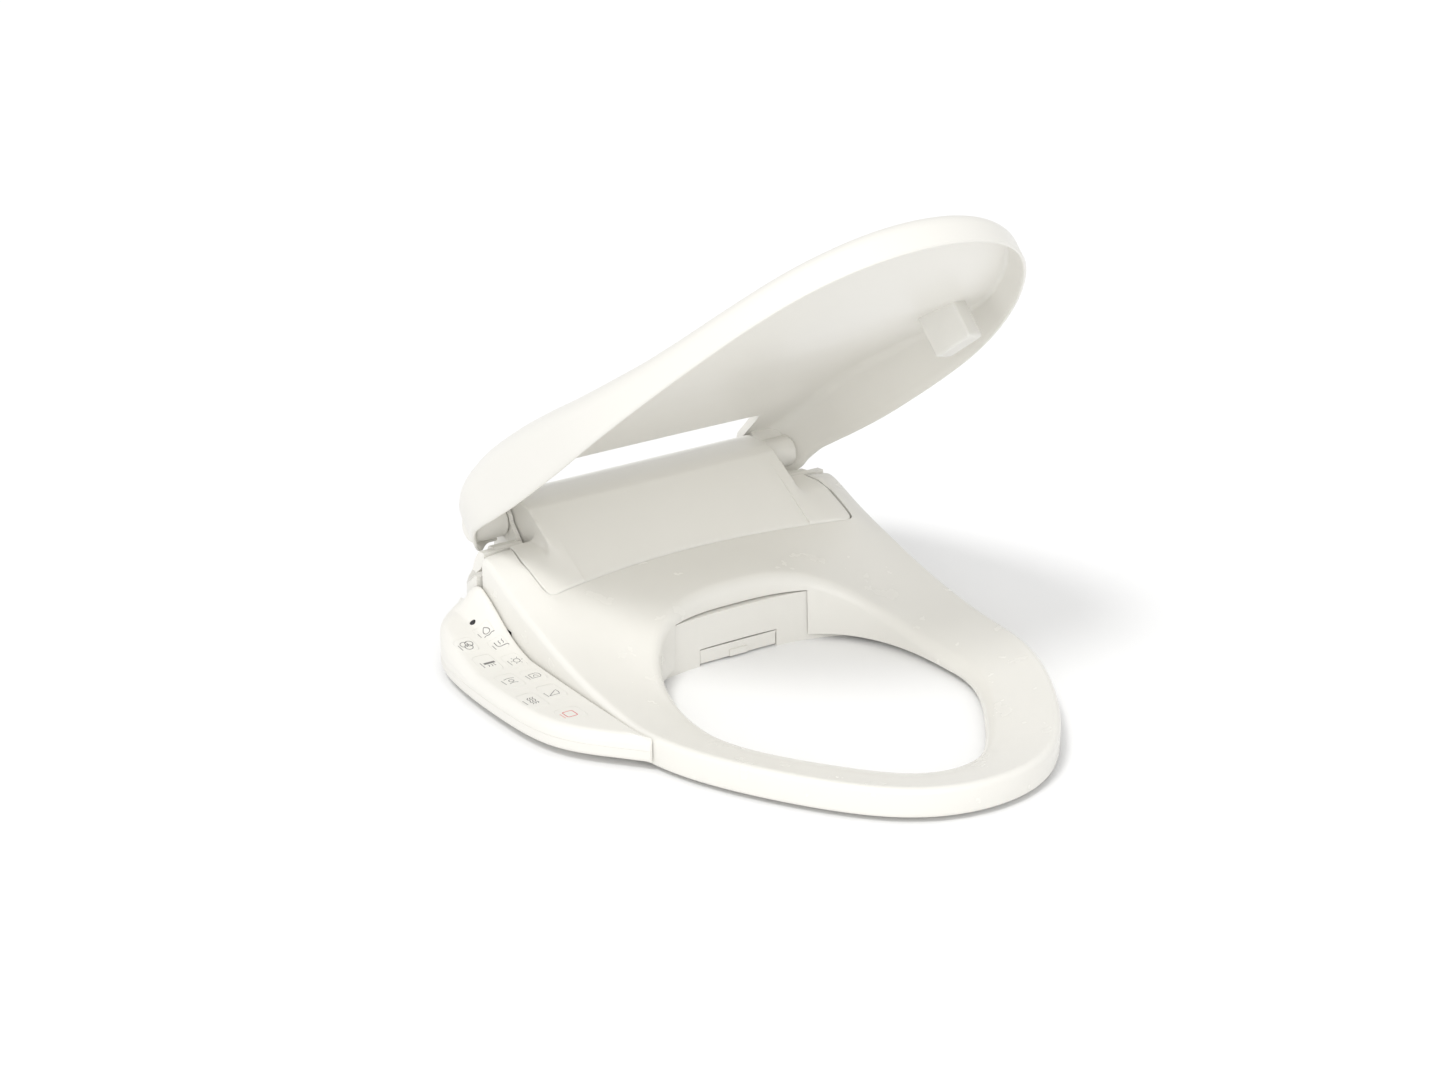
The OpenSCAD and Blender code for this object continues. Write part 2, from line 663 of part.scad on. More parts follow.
module panel_top() color("ivory") difference() {
    panel_solid(0);
    difference() {
        panel_solid(2.4);
        for (p = panel_screw_at) translate([p[0], p[1], 0]) cylinder(d = 7, h = 90, $fn = 32);
    }
    for (p = panel_screw_at) translate([p[0], p[1], 0]) cylinder(d = 3, h = 25, $fn = 32);
    for (i = [0:len(keys) - 1]) key_prism(i, key_gap);
    translate([-203, 12, 20]) cylinder(d = 5.2, h = 60, $fn = 32);
}

module panel_bottom() color("whitesmoke") difference() {
    translate([0, 0, panel_bottom_z]) linear_extrude(18 - panel_bottom_z - 0.05, convexity = 4)
        panel_plan(0);
    difference() {
        translate([0, 0, panel_bottom_z + 2.4]) linear_extrude(20, convexity = 4) panel_plan(2.4);
        for (p = panel_screw_at) translate([p[0], p[1], 0]) cylinder(d = 9, h = 17.9, $fn = 32);
    }
    for (p = panel_screw_at) translate([p[0], p[1], 0]) {
        translate([0, 0, 7]) cylinder(d = 6.4, h = 3.32, $fn = 32);
        cylinder(d = 3.2, h = 40, $fn = 32);
    }
}

module panel_board() color("darkgreen") translate([0, 0, 21]) linear_extrude(1.6, convexity = 4)
    difference() {
    panel_plan(5);
    translate([-300, -500]) square([300, 312]);
    translate([-300, 36]) square([300, 100]);
}

module panel_foot() color("dimgray") translate([-208, -168, 0]) cylinder(d = 15, h = panel_bottom_z);

module dome_switches() color("silver") for (i = [0:len(keys) - 1])
    translate([keys[i][1], keys[i][2], 22.65]) cylinder(d = 8, h = 3, $fn = 32);

module sensor_lens() color("black") intersection() {
    translate([-203, 12, 20]) cylinder(d = 5, h = 60, $fn = 32);
    difference() {
        panel_solid(0);
        panel_solid(2.4);
    }
}

module key_node(i) color(i == 9 ? "lightpink" : "white") intersection() {
    key_prism(i, 0);
    difference() {
        panel_solid(0);
        panel_solid(2.2);
    }
}

module key_water_heat() key_node(0);
module key_seat_heat() key_node(1);
module key_light() key_node(2);
module key_clean() key_node(3);
module key_pressure() key_node(4);
module key_position() key_node(5);
module key_rear_wash() key_node(6);
module key_front_wash() key_node(7);
module key_dry() key_node(8);
module key_stop() key_node(9);

// ---- fasteners ------------------------------------------------------------------------------

module screw(d, len) {
    cylinder(d = d, h = len, $fn = 32);
    translate([0, 0, -1.8]) cylinder(d = 2 * d, h = 1.8, $fn = 32);
}

module cover_screws() color("silver") for (p = screw_at)
    translate([p[0], p[1], 4]) screw(3.9, 53);

module panel_screws() color("silver") for (p = panel_screw_at)
    translate([p[0], p[1], panel_bottom_z + 2.3]) screw(3, 14);

base_tray();
top_cover();
mounting_plate();
bolt_inserts();
release_button();
inlet_fitting();
inlet_valve();
heater_tank();
power_gland();
main_board();
fan_scroll();
fan_rotor();
fan_motor();
hinge_shafts();
soft_close_dampers();
wand_rail();
wand_tube();
wand_tip();
wand_motor();
nozzle_gate();
seat_top_shell();
seat_bottom_shell();
seat_heater();
seat_bumpers();
seat_hinge_arms();
lid_shell();
lid_bumpers();
lid_knuckles();
panel_top();
panel_bottom();
panel_board();
panel_foot();
dome_switches();
sensor_lens();
key_stop();
key_rear_wash();
key_front_wash();
key_dry();
key_pressure();
key_position();
key_water_heat();
key_seat_heat();
key_light();
key_clean();
cover_screws();
panel_screws();
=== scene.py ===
import math

import bmesh
import bpy
import numpy as np
from mathutils import Matrix, Vector


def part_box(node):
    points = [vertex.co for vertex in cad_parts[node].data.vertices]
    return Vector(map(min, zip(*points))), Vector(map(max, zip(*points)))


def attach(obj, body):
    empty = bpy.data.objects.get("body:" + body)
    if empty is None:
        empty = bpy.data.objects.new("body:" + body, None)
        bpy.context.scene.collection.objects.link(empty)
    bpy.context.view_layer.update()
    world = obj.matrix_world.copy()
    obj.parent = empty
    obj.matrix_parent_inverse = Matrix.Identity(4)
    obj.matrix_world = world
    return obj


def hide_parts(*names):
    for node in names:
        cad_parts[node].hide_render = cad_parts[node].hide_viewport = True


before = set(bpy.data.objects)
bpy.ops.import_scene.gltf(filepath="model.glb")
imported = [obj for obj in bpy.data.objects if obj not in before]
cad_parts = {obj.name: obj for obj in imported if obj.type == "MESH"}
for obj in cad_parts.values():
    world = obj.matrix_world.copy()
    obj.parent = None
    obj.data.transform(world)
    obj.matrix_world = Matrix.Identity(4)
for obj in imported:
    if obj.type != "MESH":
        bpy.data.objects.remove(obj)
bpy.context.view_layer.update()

# All shapes below are worked out in millimetres in the row frame and stored in metres.
MM = 0.001
shaft_low, shaft_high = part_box("hinge_shafts")
HINGE_Y = (shaft_low[1] + shaft_high[1]) / 2 / MM
HINGE_Z = (shaft_low[2] + shaft_high[2]) / 2 / MM
LID_OPEN = 46.0


# ---- small maths -----------------------------------------------------------------------------


def smooth(a, b, v):
    t = np.clip((np.asarray(v, float) - a) / (b - a), 0, 1)
    return t * t * (3 - 2 * t)


def pchip(points):
    """Monotone cubic through (x, y) points."""
    x = np.array([p[0] for p in points], float)
    y = np.array([p[1] for p in points], float)
    h = np.diff(x)
    d = np.diff(y) / h
    m = np.zeros(len(x))
    for i in range(1, len(x) - 1):
        if d[i - 1] * d[i] > 0:
            w1, w2 = 2 * h[i] + h[i - 1], h[i] + 2 * h[i - 1]
            m[i] = (w1 + w2) / (w1 / d[i - 1] + w2 / d[i])
    m[0], m[-1] = d[0], d[-1]

    def at(v):
        v = np.clip(np.asarray(v, float), x[0], x[-1])
        i = np.clip(np.searchsorted(x, v) - 1, 0, len(h) - 1)
        t = (v - x[i]) / h[i]
        return (
            (2 * t**3 - 3 * t**2 + 1) * y[i]
            + (t**3 - 2 * t**2 + t) * h[i] * m[i]
            + (3 * t**2 - 2 * t**3) * y[i + 1]
            + (t**3 - t**2) * h[i] * m[i + 1]
        )

    return at


def chaikin(pts, times, closed=False):
    """Rounds the corners of a line."""
    p = np.asarray(pts, float)
    for _ in range(times):
        q = np.vstack([p, p[:1]]) if closed else p
        a, b = q[:-1] * 0.75 + q[1:] * 0.25, q[:-1] * 0.25 + q[1:] * 0.75
        mid = np.stack([a, b], 1).reshape(-1, p.shape[1])
        p = mid if closed else np.vstack([p[:1], mid, p[-1:]])
    return p


def resample(pts, n, closed=False):
    p = np.asarray(pts, float)
    if closed:
        p = np.vstack([p, p[:1]])
    s = np.concatenate([[0], np.cumsum(np.linalg.norm(np.diff(p, axis=0), axis=1))])
    u = np.linspace(0, s[-1], n + 1)[:-1] if closed else np.linspace(0, s[-1], n)
    return np.stack([np.interp(u, s, p[:, k]) for k in range(p.shape[1])], 1)


def outward(P):
    """Unit normals, in plan, of a closed outline."""
    t = np.roll(P, -1, 0) - np.roll(P, 1, 0)
    n = np.stack([t[:, 1], -t[:, 0]], 1)
    n /= np.maximum(np.linalg.norm(n, axis=1, keepdims=True), 1e-9)
    area = np.sum(P[:, 0] * np.roll(P[:, 1], -1) - np.roll(P[:, 0], -1) * P[:, 1])
    return n if area > 0 else -n


def thin_plate(pts, stiff=0.5):
    """Smooth surface z(x, y) through points."""
    P = np.asarray(pts, float)
    c = P[:, :2] / 100
    n = len(P)

    def phi(r2):
        return 0.5 * r2 * np.log(np.maximum(r2, 1e-12))

    K = phi(((c[:, None] - c[None]) ** 2).sum(-1)) + np.eye(n) * stiff * 1e-3
    A = np.zeros((n + 3, n + 3))
    A[:n, :n] = K
    A[:n, n] = A[n, :n] = 1
    A[:n, n + 1 :] = c
    A[n + 1 :, :n] = c.T
    w = np.linalg.solve(A, np.concatenate([P[:, 2], np.zeros(3)]))

    def at(x, y):
        q = np.stack([np.ravel(x), np.ravel(y)], 1) / 100
        z = phi(((q[:, None] - c[None]) ** 2).sum(-1)) @ w[:n] + w[n] + q @ w[n + 1 :]
        return z.reshape(np.shape(x))

    return at


# ---- meshes ----------------------------------------------------------------------------------


def make(name, verts, faces, keep_normals=False):
    me = bpy.data.meshes.new(name)
    me.from_pydata((np.asarray(verts, float) * MM).tolist(), [], faces)
    me.validate()
    ob = bpy.data.objects.new(name, me)
    bpy.context.scene.collection.objects.link(ob)
    clean(ob, keep_normals)
    return ob


def clean(ob, keep_normals=False):
    bm = bmesh.new()
    bm.from_mesh(ob.data)
    bmesh.ops.remove_doubles(bm, verts=bm.verts, dist=2e-6)
    bmesh.ops.dissolve_degenerate(bm, dist=1e-6, edges=bm.edges)
    if not keep_normals:
        bmesh.ops.recalc_face_normals(bm, faces=bm.faces)
    bm.to_mesh(ob.data)
    bm.free()
    ob.data.update()


def shade(ob, angle=32):
    me = ob.data
    me.polygons.foreach_set("use_smooth", [True] * len(me.polygons))
    me.set_sharp_from_angle(angle=math.radians(angle))
    me.update()


def bake(ob):
    """Applies the modifiers."""
    dg = bpy.context.evaluated_depsgraph_get()
    me = bpy.data.meshes.new_from_object(ob.evaluated_get(dg))
    ob.modifiers.clear()
    ob.data = me


def cut(ob, *cutters):
    for c in cutters:
        m = ob.modifiers.new("cut", "BOOLEAN")
        m.operation = "DIFFERENCE"
        m.solver = "EXACT"
        m.object = c
    bake(ob)
    for c in cutters:
        bpy.data.objects.remove(c)
    clean(ob)


def strip(rows, cols, ring_rows=False, ring_cols=False, start=0):
    """Faces of a grid of points stored row by row."""
    out = []
    for i in range(rows if ring_rows else rows - 1):
        for j in range(cols if ring_cols else cols - 1):
            a, b = i * cols + j, i * cols + (j + 1) % cols
            c, d = ((i + 1) % rows) * cols + (j + 1) % cols, ((i + 1) % rows) * cols + j
            out.append([start + a, start + b, start + c, start + d])
    return out


def prism(pts, axis, low, high, name="cutter"):
    """Straight solid on a closed outline; axis is the one it runs along."""
    p = [list(q) for q in pts]
    n = len(p)

    def place(q, h):
        return {"z": [q[0], q[1], h], "x": [h, q[0], q[1]]}[axis]

    v = [place(q, low) for q in p] + [place(q, high) for q in p]
    f = [[i, (i + 1) % n, n + (i + 1) % n, n + i] for i in range(n)]
    f += [list(range(n))[::-1], list(range(n, 2 * n))]
    return make(name, v, f)


def lathe(name, profile, centre, along=(1, 0, 0), n=64):
    """Turned solid: profile is [distance along the axis, radius]."""
    a = np.array(along, float)
    a /= np.linalg.norm(a)
    u = np.cross(a, [0, 0, 1] if abs(a[2]) < 0.9 else [0, 1, 0])
    u /= np.linalg.norm(u)
    w = np.cross(a, u)
    c = np.array(centre, float)
    v = []
    for d, r in profile:
        for k in range(n):
            t = 2 * math.pi * k / n
            v.append(c + a * d + (u * math.cos(t) + w * math.sin(t)) * r)
    f = strip(len(profile), n, ring_cols=True)
    f.append(list(range(n))[::-1])
    m = (len(profile) - 1) * n
    f.append([m + k for k in range(n)])
    return make(name, v, f)


def rounded_bar(low, high, r, n=5):
    """Section points of a turned bar from low to high with rounded ends: [distance, radius]."""
    R = 14.0
    out = [[low, 0.2], [low, R - r]]
    out += [[low + r - r * math.cos(t), R - r + r * math.sin(t)] for t in np.linspace(0, math.pi / 2, n)]
    out += [[high - r + r * math.sin(t), R - r + r * math.cos(t)] for t in np.linspace(0, math.pi / 2, n)]
    return out + [[high, 0.2]]


def open_lid(ob):
    """Turns a piece made in the closed lid's place to where the lid stands."""
    at = Matrix.Translation((0, HINGE_Y * MM, HINGE_Z * MM))
    ob.data.transform(at @ Matrix.Rotation(math.radians(-LID_OPEN), 4, "X") @ at.inverted())
    return ob


# ---- materials -------------------------------------------------------------------------------


def material(name, colour, second, rough=(0.3, 0.4), scale=60.0, bump=0.02, bump_scale=900.0, metal=0.0,
             coat=0.0, coat_rough=0.1, specular=0.5, stretch=None, transmission=0.0, sheen=0.0):
    m = bpy.data.materials.new(name)
    m.use_nodes = True
    nt = m.node_tree
    nt.nodes.clear()
    out = nt.nodes.new("ShaderNodeOutputMaterial")
    b = nt.nodes.new("ShaderNodeBsdfPrincipled")
    nt.links.new(b.outputs[0], out.inputs[0])
    b.inputs["Metallic"].default_value = metal
    b.inputs["Coat Weight"].default_value = coat
    b.inputs["Coat Roughness"].default_value = coat_rough
    b.inputs["Specular IOR Level"].default_value = specular
    b.inputs["Transmission Weight"].default_value = transmission
    b.inputs["Sheen Weight"].default_value = sheen
    tc = nt.nodes.new("ShaderNodeTexCoord")
    src = tc.outputs["Object"]
    if stretch:
        mp = nt.nodes.new("ShaderNodeMapping")
        mp.inputs["Scale"].default_value = stretch
        nt.links.new(src, mp.inputs["Vector"])
        src = mp.outputs[0]
    n1 = nt.nodes.new("ShaderNodeTexNoise")
    n1.inputs["Scale"].default_value = scale
    n1.inputs["Detail"].default_value = 3
    nt.links.new(src, n1.inputs["Vector"])
    cr = nt.nodes.new("ShaderNodeValToRGB")
    cr.color_ramp.elements[0].position = 0.35
    cr.color_ramp.elements[1].position = 0.65
    cr.color_ramp.elements[0].color = (*colour, 1)
    cr.color_ramp.elements[1].color = (*second, 1)
    nt.links.new(n1.outputs["Fac"], cr.inputs["Fac"])
    nt.links.new(cr.outputs["Color"], b.inputs["Base Color"])
    n2 = nt.nodes.new("ShaderNodeTexNoise")
    n2.inputs["Scale"].default_value = scale * 2.7
    n2.inputs["Detail"].default_value = 4
    nt.links.new(src, n2.inputs["Vector"])
    mr = nt.nodes.new("ShaderNodeMapRange")
    mr.inputs["From Min"].default_value = 0.3
    mr.inputs["From Max"].default_value = 0.7
    mr.inputs["To Min"].default_value = rough[0]
    mr.inputs["To Max"].default_value = rough[1]
    nt.links.new(n2.outputs["Fac"], mr.inputs["Value"])
    nt.links.new(mr.outputs[0], b.inputs["Roughness"])
    n3 = nt.nodes.new("ShaderNodeTexNoise")
    n3.inputs["Scale"].default_value = bump_scale
    n3.inputs["Detail"].default_value = 2
    nt.links.new(src, n3.inputs["Vector"])
    bp = nt.nodes.new("ShaderNodeBump")
    bp.inputs["Strength"].default_value = bump
    bp.inputs["Distance"].default_value = 0.0004
    nt.links.new(n3.outputs["Fac"], bp.inputs["Height"])
    nt.links.new(bp.outputs[0], b.inputs["Normal"])
    return m


IVORY = ((0.790, 0.776, 0.730), (0.785, 0.771, 0.724))
ivory_gloss = material("ivory_gloss", *IVORY, rough=(0.265, 0.275), scale=14, bump=0.015, bump_scale=500)
ivory_lid = material("ivory_lid", *IVORY, rough=(0.30, 0.315), scale=11, bump=0.02, bump_scale=450)
ivory_cover = material("ivory_cover", *IVORY, rough=(0.315, 0.33), scale=16, bump=0.03, bump_scale=700)
ivory_satin = material("ivory_satin", (0.772, 0.758, 0.712), (0.766, 0.752, 0.705), rough=(0.36, 0.44),
                       scale=12,
                       bump=0.05, bump_scale=900)
key_film = material("key_film", (0.790, 0.777, 0.732), (0.785, 0.772, 0.727), rough=(0.29, 0.34), scale=20,
                    bump=0.03,
                    bump_scale=1200)
icon_ink = material("icon_ink", (0.16, 0.16, 0.155), (0.2, 0.195, 0.19), rough=(0.5, 0.6), scale=300,
                    bump=0.02)
label_ink = material("label_ink", (0.36, 0.355, 0.34), (0.42, 0.41, 0.39), rough=(0.5, 0.6), scale=300,
                     bump=0.02)
stop_ink = material("stop_ink", (0.62, 0.10, 0.10), (0.68, 0.15, 0.13), rough=(0.45, 0.55), scale=300,
                    bump=0.02)
stop_bar = material("stop_bar", (0.72, 0.33, 0.31), (0.75, 0.4, 0.37), rough=(0.5, 0.6), scale=300,
                    bump=0.02)
black_lens = material("black_lens", (0.006, 0.006, 0.007), (0.012, 0.012, 0.013), rough=(0.05, 0.1),
                      scale=200,
                      bump=0.0, coat=0.6)
grey_plate = material("grey_plate", (0.55, 0.55, 0.54), (0.5, 0.5, 0.49), rough=(0.42, 0.55), scale=35,
                      bump=0.12,
                      bump_scale=1100)
dark_plastic = material("dark_plastic", (0.045, 0.045, 0.048), (0.07, 0.07, 0.072), rough=(0.4, 0.55),
                        scale=60,
                        bump=0.15, bump_scale=1300)
clear_plastic = material("tank_plastic", (0.52, 0.54, 0.53), (0.6, 0.61, 0.6), rough=(0.2, 0.32), scale=30,
                         bump=0.05, transmission=0.25)
board = material("board", (0.02, 0.13, 0.05), (0.03, 0.19, 0.07), rough=(0.3, 0.5), scale=220, bump=0.2,
                 bump_scale=500)
steel = material("brushed_steel", (0.56, 0.56, 0.57), (0.66, 0.66, 0.66), rough=(0.22, 0.38), scale=60,
                 bump=0.12,
                 bump_scale=300, metal=1.0, stretch=(8, 1, 1))
brass = material("plated_brass", (0.63, 0.62, 0.58), (0.7, 0.69, 0.65), rough=(0.14, 0.26), scale=80,
                 bump=0.05,
                 metal=1.0)
white_wand = material("white_wand", (0.82, 0.82, 0.80), (0.79, 0.79, 0.77), rough=(0.18, 0.26), scale=60,
                      bump=0.02,
                      coat=0.3)
foil = material("heater_foil", (0.62, 0.3, 0.1), (0.7, 0.42, 0.18), rough=(0.3, 0.5), scale=120, bump=0.1,
                metal=0.6)
rubber = material("soft_rubber", (0.42, 0.42, 0.41), (0.37, 0.37, 0.36), rough=(0.62, 0.78), scale=80,
                  bump=0.22,
                  bump_scale=1500, sheen=0.1)
pale_bumper = material("pale_bumper", (0.74, 0.73, 0.69), (0.72, 0.71, 0.67), rough=(0.48, 0.6), scale=50,
                       bump=0.1, bump_scale=1200)
floor_mat = material("studio_floor", (0.93, 0.93, 0.93), (0.925, 0.925, 0.925), rough=(0.85, 0.9), scale=2,
                     bump=0.0, specular=0.0)


def finish_piece(ob, mat, body, replaces=(), angle=32):
    ob.data.materials.clear()
    ob.data.materials.append(mat)
    if angle:
        shade(ob, angle)
    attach(ob, body)
    if replaces:
        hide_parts(*replaces)
    return ob


# ---- outlines shared by several pieces -------------------------------------------------------


def nose_x(t, a, p, q):
    return a * np.cos(t) * (1 + p * np.sin(t) ** 2 + q * np.sin(t) ** 4)


def seam_y(x):
    return -18 - 23 * (np.abs(x) / 153.5) ** 2


EAR_X = pchip([(-46, 157.0), (-33, 157.6), (-20, 158.2), (-5, 158.2), (6, 157.6), (16, 156.2), (25, 154.4),
               (34, 153.8),
               (60, 153.8)])
FLANK_Z = pchip([(-46, 74.2), (-41, 75.4), (-33, 78.8), (-20, 84), (-8, 88.6), (5, 93), (15, 94.6),
                 (23, 95.2),
                 (31, 95.4), (40, 95.4)])


def crest_z(y):
    return 31 + 36 * (np.maximum(0, np.asarray(y, float) + 226) / 188) ** 1.735


def lip_z(y):
    return 16 + 49 * (np.maximum(0, np.asarray(y, float) + 240) / 154) ** 2.2


# ---- seat ------------------------------------------------------------------------------------

SEAT_CY = -235.0
SEAT_HALF_W, SEAT_MID_Y = 188, -213.5
EAR_NARROWING, EAR_SPAN = 6.8, 247.5


def seat_side_x(y):
    """Half width of the seat behind its widest place."""
    return SEAT_HALF_W - EAR_NARROWING * ((y - SEAT_MID_Y) / EAR_SPAN) ** 2


def seat_outer_outline():
    ys = np.linspace(30, SEAT_MID_Y, 60)
    side = np.stack([seat_side_x(ys), ys], 1)
    t = np.linspace(0, np.pi, 160)[1:-1]
    front = np.stack([nose_x(t, SEAT_HALF_W, -0.38, 0.33), SEAT_MID_Y - 244.5 * np.sin(t)], 1)
    corner = [[181.5 - 4 + 4 * math.cos(a), 29.6 + 4 * math.sin(a)] for a in np.linspace(math.pi / 2, 0, 7)]
    right = np.vstack([[[150, 33.6]], corner, side])
    left = right[::-1] * [-1, 1]
    return np.vstack([right, front, left])


def seat_hole_outline():
    t = np.linspace(0, np.pi, 150)
    front = np.stack([nose_x(t, 124, -0.62, 0.42), SEAT_CY - 163 * np.sin(t)], 1)
    s = np.linspace(0, np.pi, 150)[1:-1]
    back = np.stack([124 * np.sign(np.cos(s)) * np.abs(np.cos(s)) ** (2 / 2.75),
                     SEAT_CY + 149 * np.sin(s) ** (2 / 2.75)], 1)
    return np.vstack([front[::-1], back])


def polar(outline, angles):
    """Distance of an outline from the middle of the opening, in each direction."""
    d = resample(outline, 4000, closed=True) - [0, SEAT_CY]
    a = np.arctan2(d[:, 1], d[:, 0])
    o = np.argsort(a)
    return np.interp(angles, a[o], np.hypot(d[o, 0], d[o, 1]), period=2 * math.pi)


def seat_height():
    """Top surface of the seat, through its lip, its crest and the seam with the cover."""
    pts = []
    for f in np.linspace(-math.pi, math.pi, 60, endpoint=False):
        rh, ro = polar(hole_line, [f])[0], polar(outer_line, [f])[0]
        y = SEAT_CY + rh * math.sin(f)
        pts.append([rh * math.cos(f), y, float(lip_z(y))])
        ye = SEAT_CY + ro * math.sin(f)
        if ye < -45:
            pts.append([ro * math.cos(f), ye, float(crest_z(ye))])
        if y < -100 and ye < -60:
            lip = float(lip_z(y))
            for s in (0.3, 0.6, 0.85):
                r = rh + s * (ro - rh)
                yy = SEAT_CY + r * math.sin(f)
                k = 36 * s * (1 - s) * float(smooth(-150, -30, yy))
                pts.append([r * math.cos(f), yy, lip + (float(crest_z(yy)) - lip) * s**0.7 + k])
    for x in np.linspace(-148, 148, 15):
        pts.append([x, float(seam_y(x)), 75.0])
        pts.append([x, float(seam_y(x)) + 40, 84.0])
    for y, inner, outer in ((-41, 75.4, 66), (-20, 84, 73), (-5, 89.6, 78.6), (12, 93.6, 86),
                            (24, 94.6, 90), (34, 92.6, 91)):
        for s in (-1, 1):
            pts.append([s * float(EAR_X(y)), y, inner])
            pts.append([s * 172, y, inner * 0.45 + outer * 0.55])
            pts.append([s * 182.5, y, outer])
    return thin_plate(pts)


outer_line, hole_line = seat_outer_outline(), seat_hole_outline()
seat_z = seat_height()

corner_at = math.atan2(30 - SEAT_CY, 181)
angles = np.concatenate([np.linspace(-math.pi, math.pi, 540, endpoint=False),
                         np.linspace(corner_at - 0.03, corner_at + 0.03, 25),
                         math.pi - np.linspace(corner_at - 0.03, corner_at + 0.03, 25)])
angles = np.unique(np.round(angles, 5))
r_in, r_out = polar(hole_line, angles), polar(outer_line, angles)
LIP_R, EDGE_R = 9.0, 6.0
rows = []  # (measured from the opening, across, or from the outer edge; distance or share; drop)
for a in np.linspace(0, math.pi / 2, 9):
    rows.append(("in", LIP_R * (1 - math.cos(a)), LIP_R * (1 - math.sin(a))))
for s in np.linspace(0, 1, 26)[1:-1]:
    rows.append(("mid", s, 0))
for a in np.linspace(math.pi / 2, 0, 8):
    rows.append(("out", EDGE_R * (1 - math.cos(a)), EDGE_R * (1 - math.sin(a))))
verts = []
for f, ri, ro in zip(angles, r_in, r_out):
    r = []
    for kind, d, drop in rows:
        r.append({"in": ri + d, "mid": ri + LIP_R + d * (ro - ri - LIP_R - EDGE_R), "out": ro - d}[kind])
    r = np.array(r)
    x, y = r * math.cos(f), SEAT_CY + r * math.sin(f)
    z = seat_z(x, y) - np.array([q[2] for q in rows])
    top = np.stack([x, y, z], 1).tolist()
    c, s = math.cos(f), math.sin(f)

    def at(radius, height):
        return [radius * c, SEAT_CY + radius * s, height]

    under = [at(ro - 0.4, 8.0), at(ro - 1.0, 6.0), at(ro - 1.8, 5.0), at(ro - 3.3, 5.0), at(ro - 3.3, 8.2),
             at(ri + 3.3, 8.2), at(ri + 3.3, 5.0), at(ri + 1.2, 5.0), at(ri + 0.3, 5.5)]
    verts += top + under
n_col = len(rows) + 9
seat = make("seat_top", verts, strip(len(angles), n_col, ring_rows=True, ring_cols=True))

half = [[x, float(seam_y(x))] for x in np.linspace(0, 150, 40)] + [[155.5, -39.5], [157.2, -35]]
half += [[float(EAR_X(y)), y] for y in np.linspace(-31, 60, 40)]
half = chaikin(half, 2)
SEAM_GAP = (1.2, 0.6)  # at the ears, along the front edge
gap = half + np.array([SEAM_GAP[0], -SEAM_GAP[1]])
gap[0, 0] = 0
loop = np.vstack([gap, gap[::-1][:-1] * [-1, 1]])


def under_bridge():
    """Room for the nozzle housing, kept a wall's thickness below the seat's top."""
    across, along = np.linspace(-127.0, 127.0, 61), np.linspace(0, 1, 26)
    v = []
    for t in along:
        y = (-92.4 - 30 * (np.abs(across) / 126) ** 3) * (1 - t) + 80 * t
        z = np.minimum(47.2, seat_z(across, np.minimum(y, -30)) - 2.6)
        v += np.stack([across, y, z], 1).tolist()
    for t in along:
        y = (-92.4 - 30 * (np.abs(across) / 126) ** 3) * (1 - t) + 80 * t
        v += np.stack([across, y, np.full(61, -10.0)], 1).tolist()
    m, low = 61, 61 * 26
    f = strip(26, 61) + strip(26, 61, start=low)
    for j in range(60):
        f += [[j, j + 1, low + j + 1, low + j],
              [25 * m + j, 25 * m + j + 1, low + 25 * m + j + 1, low + 25 * m + j]]
    for i in range(25):
        f += [[i * m, (i + 1) * m, low + (i + 1) * m, low + i * m],
              [i * m + 60, (i + 1) * m + 60, low + (i + 1) * m + 60, low + i * m + 60]]
    return make("under_bridge", v, f)


cut(seat,
    prism(loop, "z", -5, 200),
    under_bridge(),
    prism([[-20, -10], [80, -10], [80, 41], [-20, 41]], "x", -260, 260))
finish_piece(seat, ivory_gloss, "seat", ["seat_top_shell"], angle=50)

# heating foil, a horseshoe that keeps to one depth below the seat's top
FOIL_DEPTH, FOIL_THICK = 2.8, 0.6
foil_turn = np.linspace(-math.pi - 0.42, 0.42, 260)
verts = []
for f, ri, ro in zip(foil_turn, polar(hole_line, foil_turn) + 16, polar(outer_line, foil_turn) - 22):
    r = np.linspace(ri, ro, 9)
    x, y = r * math.cos(f), SEAT_CY + r * math.sin(f)
    z = seat_z(x, y) - FOIL_DEPTH
    verts += np.stack([x, y, z], 1).tolist() + np.stack([x, y, z - FOIL_THICK], 1)[::-1].tolist()
last = (len(foil_turn) - 1) * 18
faces = strip(len(foil_turn), 18, ring_cols=True) + [list(range(18))[::-1], list(range(last, last + 18))]
finish_piece(make("seat_heating_foil", verts, faces), foil, "seat", ["seat_heater"],
             angle=40)

# ---- centre cover with its apron and flanks --------------------------------------------------


def block_top(x, y):
    """Height of the centre block: crown behind the front edge, ruled face from there to the seam."""
    crown = pchip([(36, 118.0), (38, 118.6), (40.5, 119.9), (46, 121.5), (56, 123), (70, 123.5), (84, 121),
                   (94, 114.5),
                   (99.4, 104), (100, 100)])
    ys = seam_y(x)
    face = 118.5 - (118.5 - 75.6) * (38 - y) / (38 - ys)
    lift = 1.5 * np.sin(np.pi * np.clip((38 - y) / (38 - ys), 0, 1))
    return np.where(y > 38, crown(y), face + lift * 0)


STEP_X = 128.4


def cover_columns():
    """Nominal columns of half the cover: ("top", x), ("step", k), ("flank", x), ("edge", k)."""
    cols = [("top", x) for x in np.linspace(0, 117, 22)]
    cols += [("step", k) for k in range(22)]
    cols += [("flank", s) for s in np.linspace(0, 1, 10)[1:]]
    cols += [("edge", a) for a in np.linspace(math.pi / 2, 0, 6)[1:]]
    return cols


